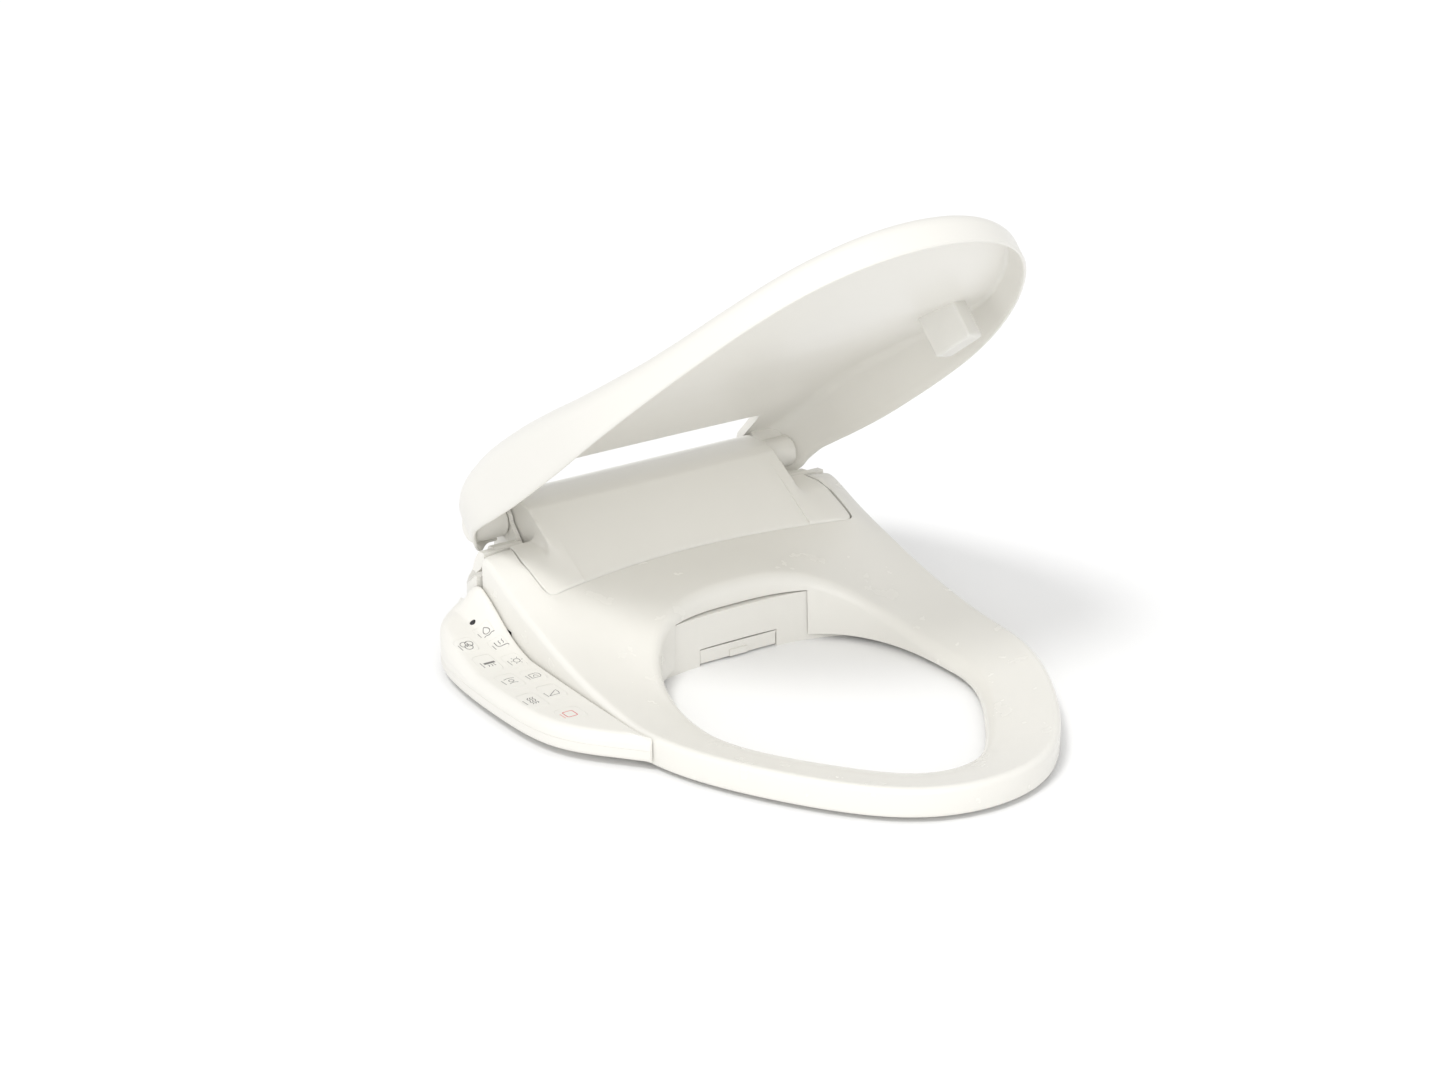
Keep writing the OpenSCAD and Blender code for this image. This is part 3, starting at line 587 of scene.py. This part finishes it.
def step_tall(k, h):
    """Offset in x and share of height at step column k for a tall wall."""
    r, q = min(2.2, h * 0.4), min(6.0, h * 0.45)
    if k < 3:
        return -11.4 + 3.2 * k, 1.0
    if k < 10:
        a = math.pi / 2 * (k - 3) / 6
        return -r + r * math.sin(a), 1 - r * (1 - math.cos(a)) / h
    if k < 13:
        g = (k - 9) / 4
        return 0.25 * g, 1 - (r + (h - r - q) * g) / h
    b = math.pi / 2 * (k - 13) / 8
    return 0.25 + q * (1 - math.cos(b)), q * (1 - math.sin(b)) / h


def cover_point(col, y):
    """Point of the cover's skin on a column at y, and how far its edge drops."""
    kind, v = col
    if kind == "top":
        return v, float(block_top(v, y)), 0.0
    hb = float(block_top(STEP_X, y))
    hf = float(FLANK_Z(y))
    h = hb - hf
    if kind == "step":
        low_x = -11.4 + 26 * v / 21
        low_s = 1 - float(smooth(0, 21, v))
        if h <= 0.3:
            return STEP_X + low_x, hf + h * low_s, 0.0
        tall_x, tall_s = step_tall(v, h)
        w = float(smooth(1.0, 9.0, h))
        return STEP_X + low_x * (1 - w) + tall_x * w, hf + h * (low_s * (1 - w) + tall_s * w), 0.0
    edge = float(EAR_X(y)) - 0.35
    x0 = cover_point(("step", 21), y)[0]
    if kind == "flank":
        return x0 + (edge - 1.4 - x0) * v, hf - 0.5 * v * v, 0.0
    return edge - 1.4 + 1.4 * math.cos(v), hf - 0.5, 1.4 * (1 - math.sin(v))


def front_y(x_nominal):
    """Front edge of the cover, with rounded corners."""
    c = np.clip((x_nominal - 149.0) / 8.6, 0, 1)
    return float(seam_y(x_nominal)) + 8.0 * (1 - math.sqrt(1 - c * c * 0.999)) + 0.25


cols = cover_columns()
front_cols = []
for s in (-1, 1):
    seq = cols[::-1] if s < 0 else cols[1:]
    front_cols += [(s, c) for c in seq]
BACK_Y = 31.0
LIP = 1.5
shares = np.concatenate([np.linspace(0, 0.3, 14), np.linspace(0.3, 1, 26)[1:]])
verts, n_cols = [], len(front_cols)


def nominal(col):
    kind, v = col
    if kind == "top":
        return v
    if kind == "step":
        return STEP_X - 11.4 + 26 * v / 21
    if kind == "flank":
        return 143.0 + 12.8 * v
    return 156.2 + 1.4 * math.cos(v)


for part in ["deep", "wall"] + list(np.linspace(0, math.pi / 2, 6)) + list(shares[1:]):
    idx = len(verts) // max(n_cols, 1)
    for s, c in front_cols:
        y0 = front_y(nominal(c))
        if part == "deep" or part == "wall" or idx < 8:
            a = 0.0 if isinstance(part, str) else float(part)
            y = y0 + LIP * (1 - math.cos(a))
            x, z, d = cover_point(c, y)
            z -= LIP * (1 - math.sin(a)) + d
            if part == "deep":
                z = 46.2
        else:
            t = float(part)
            y = y0 + LIP + (BACK_Y - y0 - LIP) * t
            x, z, d = cover_point(c, y)
            z -= d
        verts.append([s * x, y, z])
n_rows = len(verts) // n_cols
faces = strip(n_rows, n_cols)
# side walls and back wall of the front part
base = len(verts)
for i in range(n_rows):
    for j in (0, n_cols - 1):
        v = verts[i * n_cols + j]
        verts.append([v[0], v[1], 46.2])
for i in range(n_rows - 1):
    faces.append([i * n_cols, (i + 1) * n_cols, base + 2 * (i + 1), base + 2 * i])
    faces.append([i * n_cols + n_cols - 1, (i + 1) * n_cols + n_cols - 1, base + 2 * (i + 1) + 1,
                  base + 2 * i + 1])
back_base = len(verts)
for j in range(n_cols):
    v = verts[(n_rows - 1) * n_cols + j]
    verts.append([v[0], v[1], 46.2])
for j in range(n_cols - 1):
    faces.append([(n_rows - 1) * n_cols + j, (n_rows - 1) * n_cols + j + 1, back_base + j + 1,
                  back_base + j])
apron = make("cover_front", verts, faces)

# back part of the block, from the flanks' ridge to the rear edge
verts = []
section = []
R = 2.2
for a in np.linspace(0, math.pi / 2, 7):
    section.append((-R + R * math.cos(a), -R + R * math.sin(a)))
xs = np.linspace(STEP_X - R, -(STEP_X - R), 46)[1:-1]
rear_ys = np.concatenate([[30.4, 33, 35.5, 37], np.linspace(38, 42, 9), np.linspace(43, 84, 30),
                          np.linspace(85, 99.4, 22),
                          [99.85, 100]])
block_z = pchip([(30, 111.0), (38, 118.5), (40, 119.85), (43, 121), (54, 122.9), (68, 123.5), (78, 122.7),
                 (86, 120),
                 (92, 116), (96.5, 110), (99.2, 103.5), (100, 98)])
for y in rear_ys:
    top = (float(block_z(y)) if y >= 38
           else float(118.5 - (118.5 - 75.6) * (38 - y) / (38 - float(seam_y(STEP_X)))))
    row = [[STEP_X, y, 46.2]]
    row += [[STEP_X + p[0], y, top + p[1]] for p in section]
    row += [[x, y, top if y >= 38 else float(block_top(x, y))] for x in xs]
    row += [[-STEP_X - p[0], y, top + p[1]] for p in section[::-1]]
    row += [[-STEP_X, y, 46.2]]
    verts += row
n_sec = len(row)
faces = strip(len(rear_ys), n_sec, ring_cols=True)
faces.append([(len(rear_ys) - 1) * n_sec + k for k in range(n_sec)])
faces.append(list(range(n_sec))[::-1])
block = make("cover_block", verts, faces)
finish_piece(apron, ivory_cover, "housing", [], angle=40)
finish_piece(block, ivory_cover, "housing", ["top_cover"], angle=30)

# ---- lid -------------------------------------------------------------------------------------

LID_MID, LID_BACK = -172.0, 97.0
lid_top = pchip([(-472, 56.5), (-440, 54.6), (-400, 54.2), (-350, 56), (-300, 61), (-250, 70.5),
                 (-200, 82.5), (-150, 97),
                 (-100, 110.5), (-60, 119.8), (-30, 125.8), (0, 129.5), (34, 131.6), (75, 132.4),
                 (97, 131.8)])
lid_rim_line = pchip([(-472, 26), (-415, 26), (-380, 26.4), (-340, 27.6), (-300, 29.8), (-250, 33.6),
                      (-200, 38.7),
                      (-150, 45.3), (-100, 53.3), (-50, 62.3), (0, 73.3), (30, 80.5), (50, 84), (62, 83.6),
                      (72, 81),
                      (80, 80.6), (90, 83), (95, 88), (98, 93)])


def lid_side_x(y):
    c = np.maximum(0, np.asarray(y, float) - LID_BACK + 85) / 85
    return 194 - 10 * ((y - LID_MID) / 234) ** 2 - 38 * (1 - np.sqrt(np.maximum(0, 1 - c * c)))


def lid_outline():
    ys = LID_MID + (LID_BACK - LID_MID) * (1 - np.linspace(0, 1, 90)[::-1] ** 1.8)
    right = np.stack([lid_side_x(ys), ys], 1)[::-1]
    t = np.linspace(0, np.pi / 2, 130)[1:]
    front = np.stack([nose_x(t, 194, -0.06, 0.20), LID_MID - 300 * np.sin(t)], 1)
    half = resample(chaikin(np.vstack([[[0, LID_BACK]], right, front]), 2), 311)
    half[[0, -1], 0] = 0
    return np.vstack([half, half[1:-1][::-1] * [-1, 1]])


lid_line = lid_outline()
lid_n = outward(lid_line)
# even out the normals where the outline turns quickly
for _ in range(6):
    lid_n = lid_n * 0.5 + np.roll(lid_n, 1, 0) * 0.25 + np.roll(lid_n, -1, 0) * 0.25
lid_n /= np.linalg.norm(lid_n, axis=1, keepdims=True)


def lid_skin(offset, radius_front, radius_back, extra_drop):
    """Rings of one skin of the lid: rim, side, rounded shoulder and top, ending on the centre line."""
    P = lid_line - lid_n * offset
    y = P[:, 1]
    R = radius_front + (radius_back - radius_front) * smooth(-330, 40, y)
    R = np.minimum(R, (lid_top(y) - lid_rim_line(y)) * 0.8)
    spine = np.stack([np.zeros(len(P)), np.clip(y, -262, 30)], 1)
    ray = spine - P
    length = np.linalg.norm(ray, axis=1)
    ray /= length[:, None]
    across = np.maximum(0.35, -(ray * lid_n).sum(1))
    rings = []
    rim = lid_rim_line(lid_line[:, 1])
    for g in np.linspace(0, 1, 6)[:-1]:
        W = lid_line - lid_n * (min(offset, 3.0) * (1 - g) + offset * g)
        rings.append(np.stack([W[:, 0], W[:, 1], rim + (lid_top(y) - extra_drop - R - rim) * g], 1))
    for a in np.linspace(0, math.pi / 2, 12):
        d = R * (1 - math.cos(a)) / across
        q = P + ray * np.minimum(d, length * 0.5)[:, None]
        z = lid_top(q[:, 1]) - extra_drop - R * (1 - math.sin(a))
        rings.append(np.stack([q[:, 0], q[:, 1], z], 1))
    start = R / across
    for s in (np.linspace(0, 1, 30)[1:]) ** 1.0:
        q = P + ray * (np.minimum(start, length * 0.5) + (length - np.minimum(start, length * 0.5)) * s)[:,
                                                                      None]
        rings.append(np.stack([q[:, 0], q[:, 1], lid_top(q[:, 1]) - extra_drop], 1))
    return rings


outer_rings = lid_skin(0.0, 14.0, 22.0, 0.0)
inner_rings = lid_skin(6.5, 4.0, 12.0, 7.0)
n = len(lid_line)
# a small round on the rim's outer corner
rim_out = outer_rings[0].copy()
rim_out[:, :2] -= lid_n * 0.9
rim_low = rim_out.copy()
rim_in = inner_rings[0].copy()
rim_in[:, :2] += lid_n * 0.6
outer_rings[0][:, 2] += 0.9
inner_rings[0][:, 2] += 0.6
seq = inner_rings[::-1] + [rim_in, rim_low] + outer_rings
lid = make("lid_shell_visual", np.vstack(seq), strip(len(seq), n, ring_cols=True))
NOTCH_X, NOTCH_Y = 131.0, 34.0
notch = chaikin([[-NOTCH_X, 160], [-NOTCH_X, NOTCH_Y + 5], [-NOTCH_X + 5, NOTCH_Y], [NOTCH_X - 5, NOTCH_Y],
                 [NOTCH_X, NOTCH_Y + 5], [NOTCH_X, 160]], 2)
slots = []
for s in (-1, 1):
    x0, x1 = sorted((s * 130.8, s * 136.0))
    slots.append(prism([[x0, 60], [x1, 60], [x1, 120], [x0, 120]], "z", 50, 100))
cut(lid, prism(notch, "z", -20, 300), *slots)
open_lid(lid)
finish_piece(lid, ivory_lid, "lid", ["lid_shell"], angle=55)

# wedge bumper clipped to the lid's inside
BUMPER_AT, BUMPER_TURN = (138.0, -262.0), math.radians(20)
BUMPER_HALF_W, BUMPER_HALF_L, BUMPER_R = 9.5, 20.0, 2.5
outline = []
for qx, qy, a0 in ((1, 1, 0), (-1, 1, 90), (-1, -1, 180), (1, -1, 270)):
    for a in np.radians(np.linspace(a0, a0 + 90, 6)):
        outline.append([qx * (BUMPER_HALF_W - BUMPER_R) + BUMPER_R * math.cos(a),
                        qy * (BUMPER_HALF_L - BUMPER_R) + BUMPER_R * math.sin(a)])
outline = np.array(outline)
# (share of the outline, height), from its face to the inside of the lid's shell
levels = [(0.80, 24.9), (0.88, 25.0), (0.95, 25.6), (0.99, 26.8), (1.0, 28.4), (1.0, 40), (1.0, None)]
verts = []
for k, z in levels:
    p = outline * k
    x = BUMPER_AT[0] + p[:, 0] * math.cos(BUMPER_TURN) - p[:, 1] * math.sin(BUMPER_TURN)
    y = BUMPER_AT[1] + p[:, 0] * math.sin(BUMPER_TURN) + p[:, 1] * math.cos(BUMPER_TURN)
    height = lid_top(y) - 6.0 if z is None else z + p[:, 1] / BUMPER_HALF_L * 1.4
    verts += np.stack([x, y, height], 1).tolist()
m = len(outline)
faces = strip(len(levels), m, ring_cols=True)
faces += [list(range(m))[::-1], [(len(levels) - 1) * m + k for k in range(m)]]
bumper = open_lid(make("lid_bumper_right", verts, faces))
finish_piece(bumper, pale_bumper, "lid", ["lid_bumpers"], angle=40)

# barrels of the lid round the hinge shafts, each with its web up to the shell
for s in (-1, 1):
    side = "left" if s < 0 else "right"
    c = (s * 151.5, HINGE_Y, HINGE_Z)
    barrel = lathe(f"lid_barrel_{side}", rounded_bar(-16.5, 16.5, 3.0), c, n=72)
    web = prism(chaikin([[HINGE_Y - 4, HINGE_Z], [HINGE_Y + 4, HINGE_Z], [HINGE_Y + 4.5, HINGE_Z + 24.5],
                         [HINGE_Y - 4.5, HINGE_Z + 24.5]], 1, closed=True),
                "x", s * 151.5 - 15, s * 151.5 + 15, f"lid_barrel_web_{side}")
    open_lid(web)
    finish_piece(barrel, ivory_lid, "lid", ["lid_knuckles"], angle=45)
    finish_piece(web, ivory_lid, "lid", angle=30)

# ---- control panel ---------------------------------------------------------------------------

PANEL_IN = -189.2
rise_y = pchip([(-300, 0), (-60, 0), (-45, 1.4), (-30, 3.8), (-5, 9), (15, 12.5), (32, 14.5), (70, 14.8)])
rise_x = pchip([(-260, -1.0), (-247, 0), (-240, 4), (-233, 9), (-226, 15), (-215, 19), (-150, 20)])
ridge = pchip([(-300, 0), (-60, 0), (-40, 1.5), (-30, 3), (-14, 7), (5, 14), (20, 19), (30, 21), (36, 20),
               (44, 9),
               (52, 3), (70, 0)])


def panel_in(y):
    """Inner side of the panel, along the side of the seat and of the housing behind it."""
    y = np.asarray(y, float)
    side = seat_side_x(np.maximum(y, SEAT_MID_Y))
    front = np.interp(-y, -outer_line[front_half, 1], np.abs(outer_line[front_half, 0]))
    side = np.where(y < SEAT_MID_Y, front, side) + 1.0
    back = smooth(30, 36, y)
    return -(side * (1 - back) + 185.2 * back)


front_half = np.where((outer_line[:, 1] < SEAT_MID_Y) & (outer_line[:, 0] > 0))[0]


def panel_z(x, y):
    a, b = rise_y(y), rise_x(x)
    k = 5.0
    h = np.maximum(k - np.abs(a - b), 0) / k
    return 30 + np.minimum(a, b) - h * h * k / 4 + ridge(y) * smooth(-206, -185, x)


def panel_outline():
    curve = [(PANEL_IN - 1.2, 57.8), (-197, 54), (-207, 48), (-217, 39), (-227, 27), (-235, 10),
             (-241, -12),
             (-245.5, -50), (-247, -95), (-246, -138), (-241.5, -166), (-233, -187), (-221, -205),
             (-208, -220),
             (-198, -232), (PANEL_IN + 0.6, -243.4)]
    return resample(chaikin(curve, 3), 240)


panel_line = panel_outline()
panel_n = np.gradient(panel_line, axis=0)
panel_n = np.stack([panel_n[:, 1], -panel_n[:, 0]], 1) / np.linalg.norm(panel_n, axis=1, keepdims=True)


def panel_part(name, outer, inner, middle):
    """Closed body made of rows across the panel.

    outer and inner are (inset, height) from the bottom up, by row.
    """
    verts = []
    for (x, y), nx in zip(panel_line, np.abs(panel_n[:, 0])):
        edge = float(panel_in(y))
        width = max(edge - x, 0.8)
        row = [[x + min(d / max(nx, 0.4), width * 0.5), y, z] for d, z in outer(x, y)]
        inside = [[edge - min(d, width * 0.4), y, z] for d, z in inner(x, y)]
        x0, x1 = row[-1][0], inside[-1][0]
        for g in np.linspace(0, 1, 26)[1:-1]:
            row.append([x0 + (x1 - x0) * g, y, None])
        row += inside[::-1]
        for q in row:
            if q[2] is None:
                q[2] = middle(q[0], y)
            elif isinstance(q[2], tuple):
                q[2] = float(panel_z(q[0], y)) - q[2][0]
        verts += row
    m = len(row)
    faces = strip(len(panel_line), m, ring_cols=True)
    faces += [list(range(m))[::-1], [(len(panel_line) - 1) * m + k for k in range(m)]]
    return make(name, verts, faces)


def top_outer(x, y):
    R = 8.0
    out = [(0.2, 18.05), (0.0, 18.25)]
    top = float(panel_z(x, y))
    out += [(0.0, 18.25 + (top - R - 18.25) * g) for g in (0.33, 0.66)]
    return out + [(R * (1 - math.cos(a)), (R * (1 - math.sin(a)),)) for a in np.linspace(0, math.pi / 2,
                                                                      10)]


def top_inner(x, y):
    R = 3.0
    out = [(0.0, 18.05), (0.0, 24.0)]
    return out + [(R * (1 - math.cos(a)), (R * (1 - math.sin(a)),)) for a in np.linspace(0, math.pi / 2, 6)]


shell = panel_part("panel_cover", top_outer, top_inner, lambda x, y: float(panel_z(x, y)))

KEYS = [("key_water_heat", -202, -4, 15, 15), ("key_seat_heat", -200, -25, 15, 16),
        ("key_light", -201, -53, 16, 24),
        ("key_clean", -202, -85, 17, 24), ("key_pressure", -206, -121, 18, 28),
        ("key_position", -225, -14, 17, 20),
        ("key_rear_wash", -223, -46, 18, 28), ("key_front_wash", -224, -84, 18, 28),
        ("key_dry", -229, -128, 18, 30),
        ("key_stop", -216, -167, 22, 24)]


def soft_rect(w, l, power=6.0, n=72):
    t = np.linspace(0, 2 * math.pi, n, endpoint=False)
    c, s = np.cos(t), np.sin(t)
    r = (np.abs(c) ** power + np.abs(s) ** power) ** (-1 / power)
    return np.stack([w / 2 * r * c, l / 2 * r * s], 1)


pockets = []
for name, kx, ky, w, l in KEYS:
    o = soft_rect(w - 0.1, l - 0.1) + [kx, ky]
    z = float(panel_z(kx, ky))
    pockets.append(prism(o, "z", 24.5, 90))
pockets.append(prism(soft_rect(5.2, 5.2, 2.0) + [-203, 12], "z", 40, 90))
# the pockets only go a little way in, so that the shell stays one closed body
cut(shell, *pockets)
finish_piece(shell, ivory_cover, "housing", ["panel_top"], angle=36)

low_steps = [(3.2, 8.0), (1.6, 8.25), (0.6, 9.0), (0.1, 10.2), (0.0, 12.0), (0.0, 17.75), (0.2, 17.95)]
low = panel_part("panel_base", lambda x, y: low_steps, lambda x, y: [(0.6, 8.0), (0.0, 8.6), (0.0, 17.95)],
                 lambda x, y: 17.95)
finish_piece(low, ivory_satin, "housing", ["panel_bottom"], angle=36)


def pad(name, kx, ky, w, l, mat):
    """Key of the panel, following the panel's surface."""
    o = soft_rect(w - 0.34, l - 0.34)
    v, m = [], len(o)
    levels = [(1.0, -1.8), (1.0, -0.06), (0.994, 0.0)] + [(k, 0.0) for k in np.linspace(0.994, 0, 10)[1:]]
    for k, dz in levels:
        p = o * k + [kx, ky]
        v += np.stack([p[:, 0], p[:, 1], panel_z(p[:, 0], p[:, 1]) + dz], 1).tolist()
    low_ring = [[kx, ky, float(panel_z(kx, ky)) - 1.8]] * m
    f = strip(len(levels), m, ring_cols=True)
    start = len(v)
    v += low_ring
    for j in range(m):
        f.append([j, (j + 1) % m, start + (j + 1) % m, start + j])
    ob = make(name + "_pad", v, f)
    return finish_piece(ob, mat, name, [name], angle=40)


def stroke(points, width, closed=False, lift=0.05, thick=0.12):
    """Flat printed line on the panel's surface, as vertices and faces."""
    p = np.asarray(points, float)
    p = resample(p, max(6, int(len(p) * 2)), closed)
    if closed:
        t = np.roll(p, -1, 0) - np.roll(p, 1, 0)
    else:
        t = np.gradient(p, axis=0)
    t /= np.maximum(np.linalg.norm(t, axis=1, keepdims=True), 1e-9)
    nn = np.stack([-t[:, 1], t[:, 0]], 1) * width / 2
    a, b = p + nn, p - nn
    v = []
    for q, dz in ((a, -thick), (a, lift), (b, lift), (b, -thick)):
        v.append(np.stack([q[:, 0], q[:, 1], panel_z(q[:, 0], q[:, 1]) + dz], 1))
    v = np.stack(v, 1).reshape(-1, 3)
    f = strip(len(p), 4, ring_rows=closed, ring_cols=True)
    if not closed:
        f += [[0, 1, 2, 3], [len(v) - 4, len(v) - 3, len(v) - 2, len(v) - 1]]
    return v.tolist(), f


def circle(cx, cy, r, a0=0, a1=360, n=28):
    t = np.radians(np.linspace(a0, a1, n))
    return [[cx + ICON_SIZE * r * math.cos(a), cy + ICON_SIZE * r * math.sin(a)] for a in t]


def printed(name, body, mat, strokes):
    v, f = [], []
    for pts, width, closed in strokes:
        a, b = stroke(pts, width * 1.35, closed)
        f += [[len(v) + i for i in q] for q in b]
        v += a
    ob = make(name, v, f)
    return finish_piece(ob, mat, body, angle=40)


ICON_SIZE = 1.45


def local(cx, cy, pts, turn=0.0):
    c, s = math.cos(math.radians(turn)), math.sin(math.radians(turn))
    return [[cx + (x * c - y * s) * ICON_SIZE, cy + (x * s + y * c) * ICON_SIZE] for x, y in pts]


for name, kx, ky, w, l in KEYS:
    pad(name, kx, ky, w, l, key_film)

ICONS = {
    # water drop over a wave
    "key_water_heat": lambda x, y: [
        (local(x, y, [[0, 3.6], [1.7, 1.2], [1.9, -0.6], [1.0, -1.8], [-1.0, -1.8], [-1.9, -0.6],
                      [-1.7, 1.2], [0, 3.6]]), 0.5, False),
        (local(x, y, [[-3.4, -3.4], [-1.7, -2.6], [0, -3.4], [1.7, -2.6], [3.4, -3.4]]), 0.5, False)],
    # seat with rising heat
    "key_seat_heat": lambda x, y: [
        (local(x, y, [[-3, 3.4], [-3, -1.6], [3, -1.6], [3.6, -3]]), 0.55, False),
        (local(x, y, [[-0.8, 0], [-0.2, 1.1], [-0.8, 2.2], [-0.2, 3.2]]), 0.45, False),
        (local(x, y, [[1.4, 0], [2.0, 1.1], [1.4, 2.2], [2.0, 3.2]]), 0.45, False)],
    "key_light": lambda x, y: [
        (circle(x, y + 0.4, 2.0), 0.5, True)] + [
        (local(x, y + 0.4, [[2.9, 0], [3.9, 0]], a), 0.45, False) for a in (0, 60, 120, 180, 240, 300)],
    "key_clean": lambda x, y: [
        (local(x, y, [[-3.2, -2.8], [-3.2, 2.8], [3.2, 2.8], [3.2, -2.8], [-3.2, -2.8]]), 0.5, False),
        (local(x, y, [[-1.6, -1.4], [0, 1.4], [1.6, -1.4]]), 0.45, False)],
    "key_pressure": lambda x, y: [
        (local(x, y, [[-3.6, -2.8], [3.6, -2.8], [3.6, 3.2], [-3.6, -2.8]]), 0.5, False)],
    "key_position": lambda x, y: [
        (circle(x - 2.3, y + 1.9, 2.4), 0.5, True), (circle(x + 2.3, y + 1.9, 2.4), 0.5, True),
        (circle(x, y - 2.4, 2.4), 0.5, True)],
    "key_rear_wash": lambda x, y: [
        (local(x, y, [[-3.6, 0.4], [3.6, 0.4]]), 2.0, False),
        (local(x, y, [[-2.2, -3.6], [-1.4, -2.2], [-2.0, -1.2]]), 0.45, False),
        (local(x, y, [[0, -3.8], [0.5, -2.4], [0, -1.2]]), 0.45, False),
        (local(x, y, [[2.2, -3.6], [2.0, -2.4], [1.6, -1.2]]), 0.45, False)],
    "key_front_wash": lambda x, y: [
        (local(x, y, [[-3.4, 2.6], [-1.2, 3.4], [1.2, 3.4], [3.4, 2.6]]), 0.5, False),
        (circle(x, y - 0.4, 1.5), 0.5, True),
        (local(x, y, [[-2.8, -3.6], [0, -2.6], [2.8, -3.6]]), 0.5, False)],
    "key_dry": lambda x, y: [
        (local(x + d, y, [[1.0, 4.2], [-0.6, 2.6], [0.8, 0.6], [-0.8, -1.4], [0.8, -3.2], [-0.4, -4.4]]),
         0.55, False)
        for d in (-2.4, 0, 2.4)],
    "key_stop": lambda x, y: [
        (soft_rect(9.4, 10.2, 7.0, 60) + [x, y], 0.6, True)],
}
AT = {"key_water_heat": (-200, -6), "key_seat_heat": (-197.5, -26), "key_light": (-198.5, -53),
      "key_clean": (-201, -86),
      "key_pressure": (-207, -124), "key_position": (-224, -15), "key_rear_wash": (-221, -46),
      "key_front_wash": (-223, -84), "key_dry": (-229, -128), "key_stop": (-217, -167)}
for name, maker in ICONS.items():
    x, y = AT[name]
    strokes = [(chaikin(p, 2) if not closed and len(p) > 3 and name not in ("key_clean",
                                                                      "key_pressure") else p, wd, closed)
               for p, wd, closed in maker(x, y)]
    printed(name + "_icon", name, stop_ink if name == "key_stop" else icon_ink, strokes)

# plain bars where the panel's captions stand


def caption(name, x, y, mat):
    key = [k for k in KEYS if k[0] == name][0]
    px, py = max(x - 7.4, key[1] - key[3] / 2 + 1.3), y - 1.0
    lx = min(key[4] * 0.2, 4.2)
    pts = [[px, py - lx], [px - 0.2, py + lx]]
    return printed(name + "_caption", name, mat, [(pts, 0.7, False)])


for name, (x, y) in AT.items():
    caption(name, x, y, stop_bar if name == "key_stop" else label_ink)

# domed infrared window
lens_v, lens_f = [], []
lo = soft_rect(5.0, 5.0, 2.0, 48)
levels = [(1.0, -2.0), (1.0, 0.02), (0.93, 0.2), (0.75, 0.32), (0.5, 0.4), (0.25, 0.43), (0.0, 0.44)]
for k, dz in levels:
    p = lo * k + [-203, 12]
    lens_v += np.stack([p[:, 0], p[:, 1], panel_z(p[:, 0], p[:, 1]) + dz], 1).tolist()
lens_f = strip(len(levels), len(lo), ring_cols=True) + [list(range(len(lo)))[::-1]]
lens = make("sensor_window", lens_v, lens_f)
finish_piece(lens, black_lens, "housing", ["sensor_lens"], angle=60)

# ---- carried-over CAD nodes ------------------------------------------------------------------

NODE_MATERIALS = {
    "base_tray": ivory_satin, "mounting_plate": grey_plate, "bolt_inserts": dark_plastic,
    "release_button": grey_plate,
    "inlet_fitting": brass, "inlet_valve": dark_plastic, "heater_tank": clear_plastic,
    "power_gland": dark_plastic,
    "main_board": board, "fan_scroll": dark_plastic, "fan_rotor": dark_plastic, "fan_motor": steel,
    "hinge_shafts": steel, "soft_close_dampers": dark_plastic, "wand_rail": grey_plate,
    "wand_tube": white_wand,
    "wand_tip": steel, "wand_motor": steel, "nozzle_gate": ivory_satin, "seat_bottom_shell": ivory_satin,
    "seat_bumpers": rubber, "seat_hinge_arms": ivory_gloss, "panel_board": board,
    "panel_foot": ivory_satin, "dome_switches": steel, "cover_screws": steel, "panel_screws": steel}
for node, mat in NODE_MATERIALS.items():
    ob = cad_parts[node]
    if not ob.material_slots:
        ob.data.materials.append(mat)
    for sl in ob.material_slots:
        sl.link = "OBJECT"
        sl.material = mat

# ---- studio ----------------------------------------------------------------------------------

fl = bpy.data.meshes.new("studio_floor")
S = 14.0
fl.from_pydata([[-S, -S, 0], [S, -S, 0], [S, S, 0], [-S, S, 0]], [], [[0, 1, 2, 3]])
floor = bpy.data.objects.new("studio_floor", fl)
floor.data.materials.append(floor_mat)
bpy.context.scene.collection.objects.link(floor)

world = bpy.data.worlds.new("studio")
bpy.context.scene.world = world
world.use_nodes = True
bg = world.node_tree.nodes["Background"]
bg.inputs["Color"].default_value = (1.0, 1.0, 1.0, 1)
bg.inputs["Strength"].default_value = 0.76


def sun(name, toward, strength, angle, colour=(1, 1, 1)):
    """Far softbox: toward points from the object to the light."""
    d = bpy.data.lights.new(name, "SUN")
    d.energy = strength
    d.angle = math.radians(angle)
    d.color = colour
    o = bpy.data.objects.new(name, d)
    o.rotation_euler = Vector(toward).to_track_quat("Z", "Y").to_euler()
    bpy.context.scene.collection.objects.link(o)
    return o


sun("key_softbox", (-0.48, -0.22, 0.85), 1.05, 14)
sun("front_fill", (-0.5, -0.8, 0.35), 1.0, 55)

cam_data = bpy.data.cameras.new("camera")
cam_data.lens = 99.2
cam_data.sensor_width = 36
cam = bpy.data.objects.new("camera", cam_data)
cam.location = (-1.760, -2.686, 1.395)
cam.rotation_euler = (math.radians(67.649), 0, math.radians(-33.904))
cam_data.clip_end = 100
bpy.context.scene.collection.objects.link(cam)
bpy.context.scene.camera = cam
bpy.context.scene.view_settings.view_transform = "Standard"
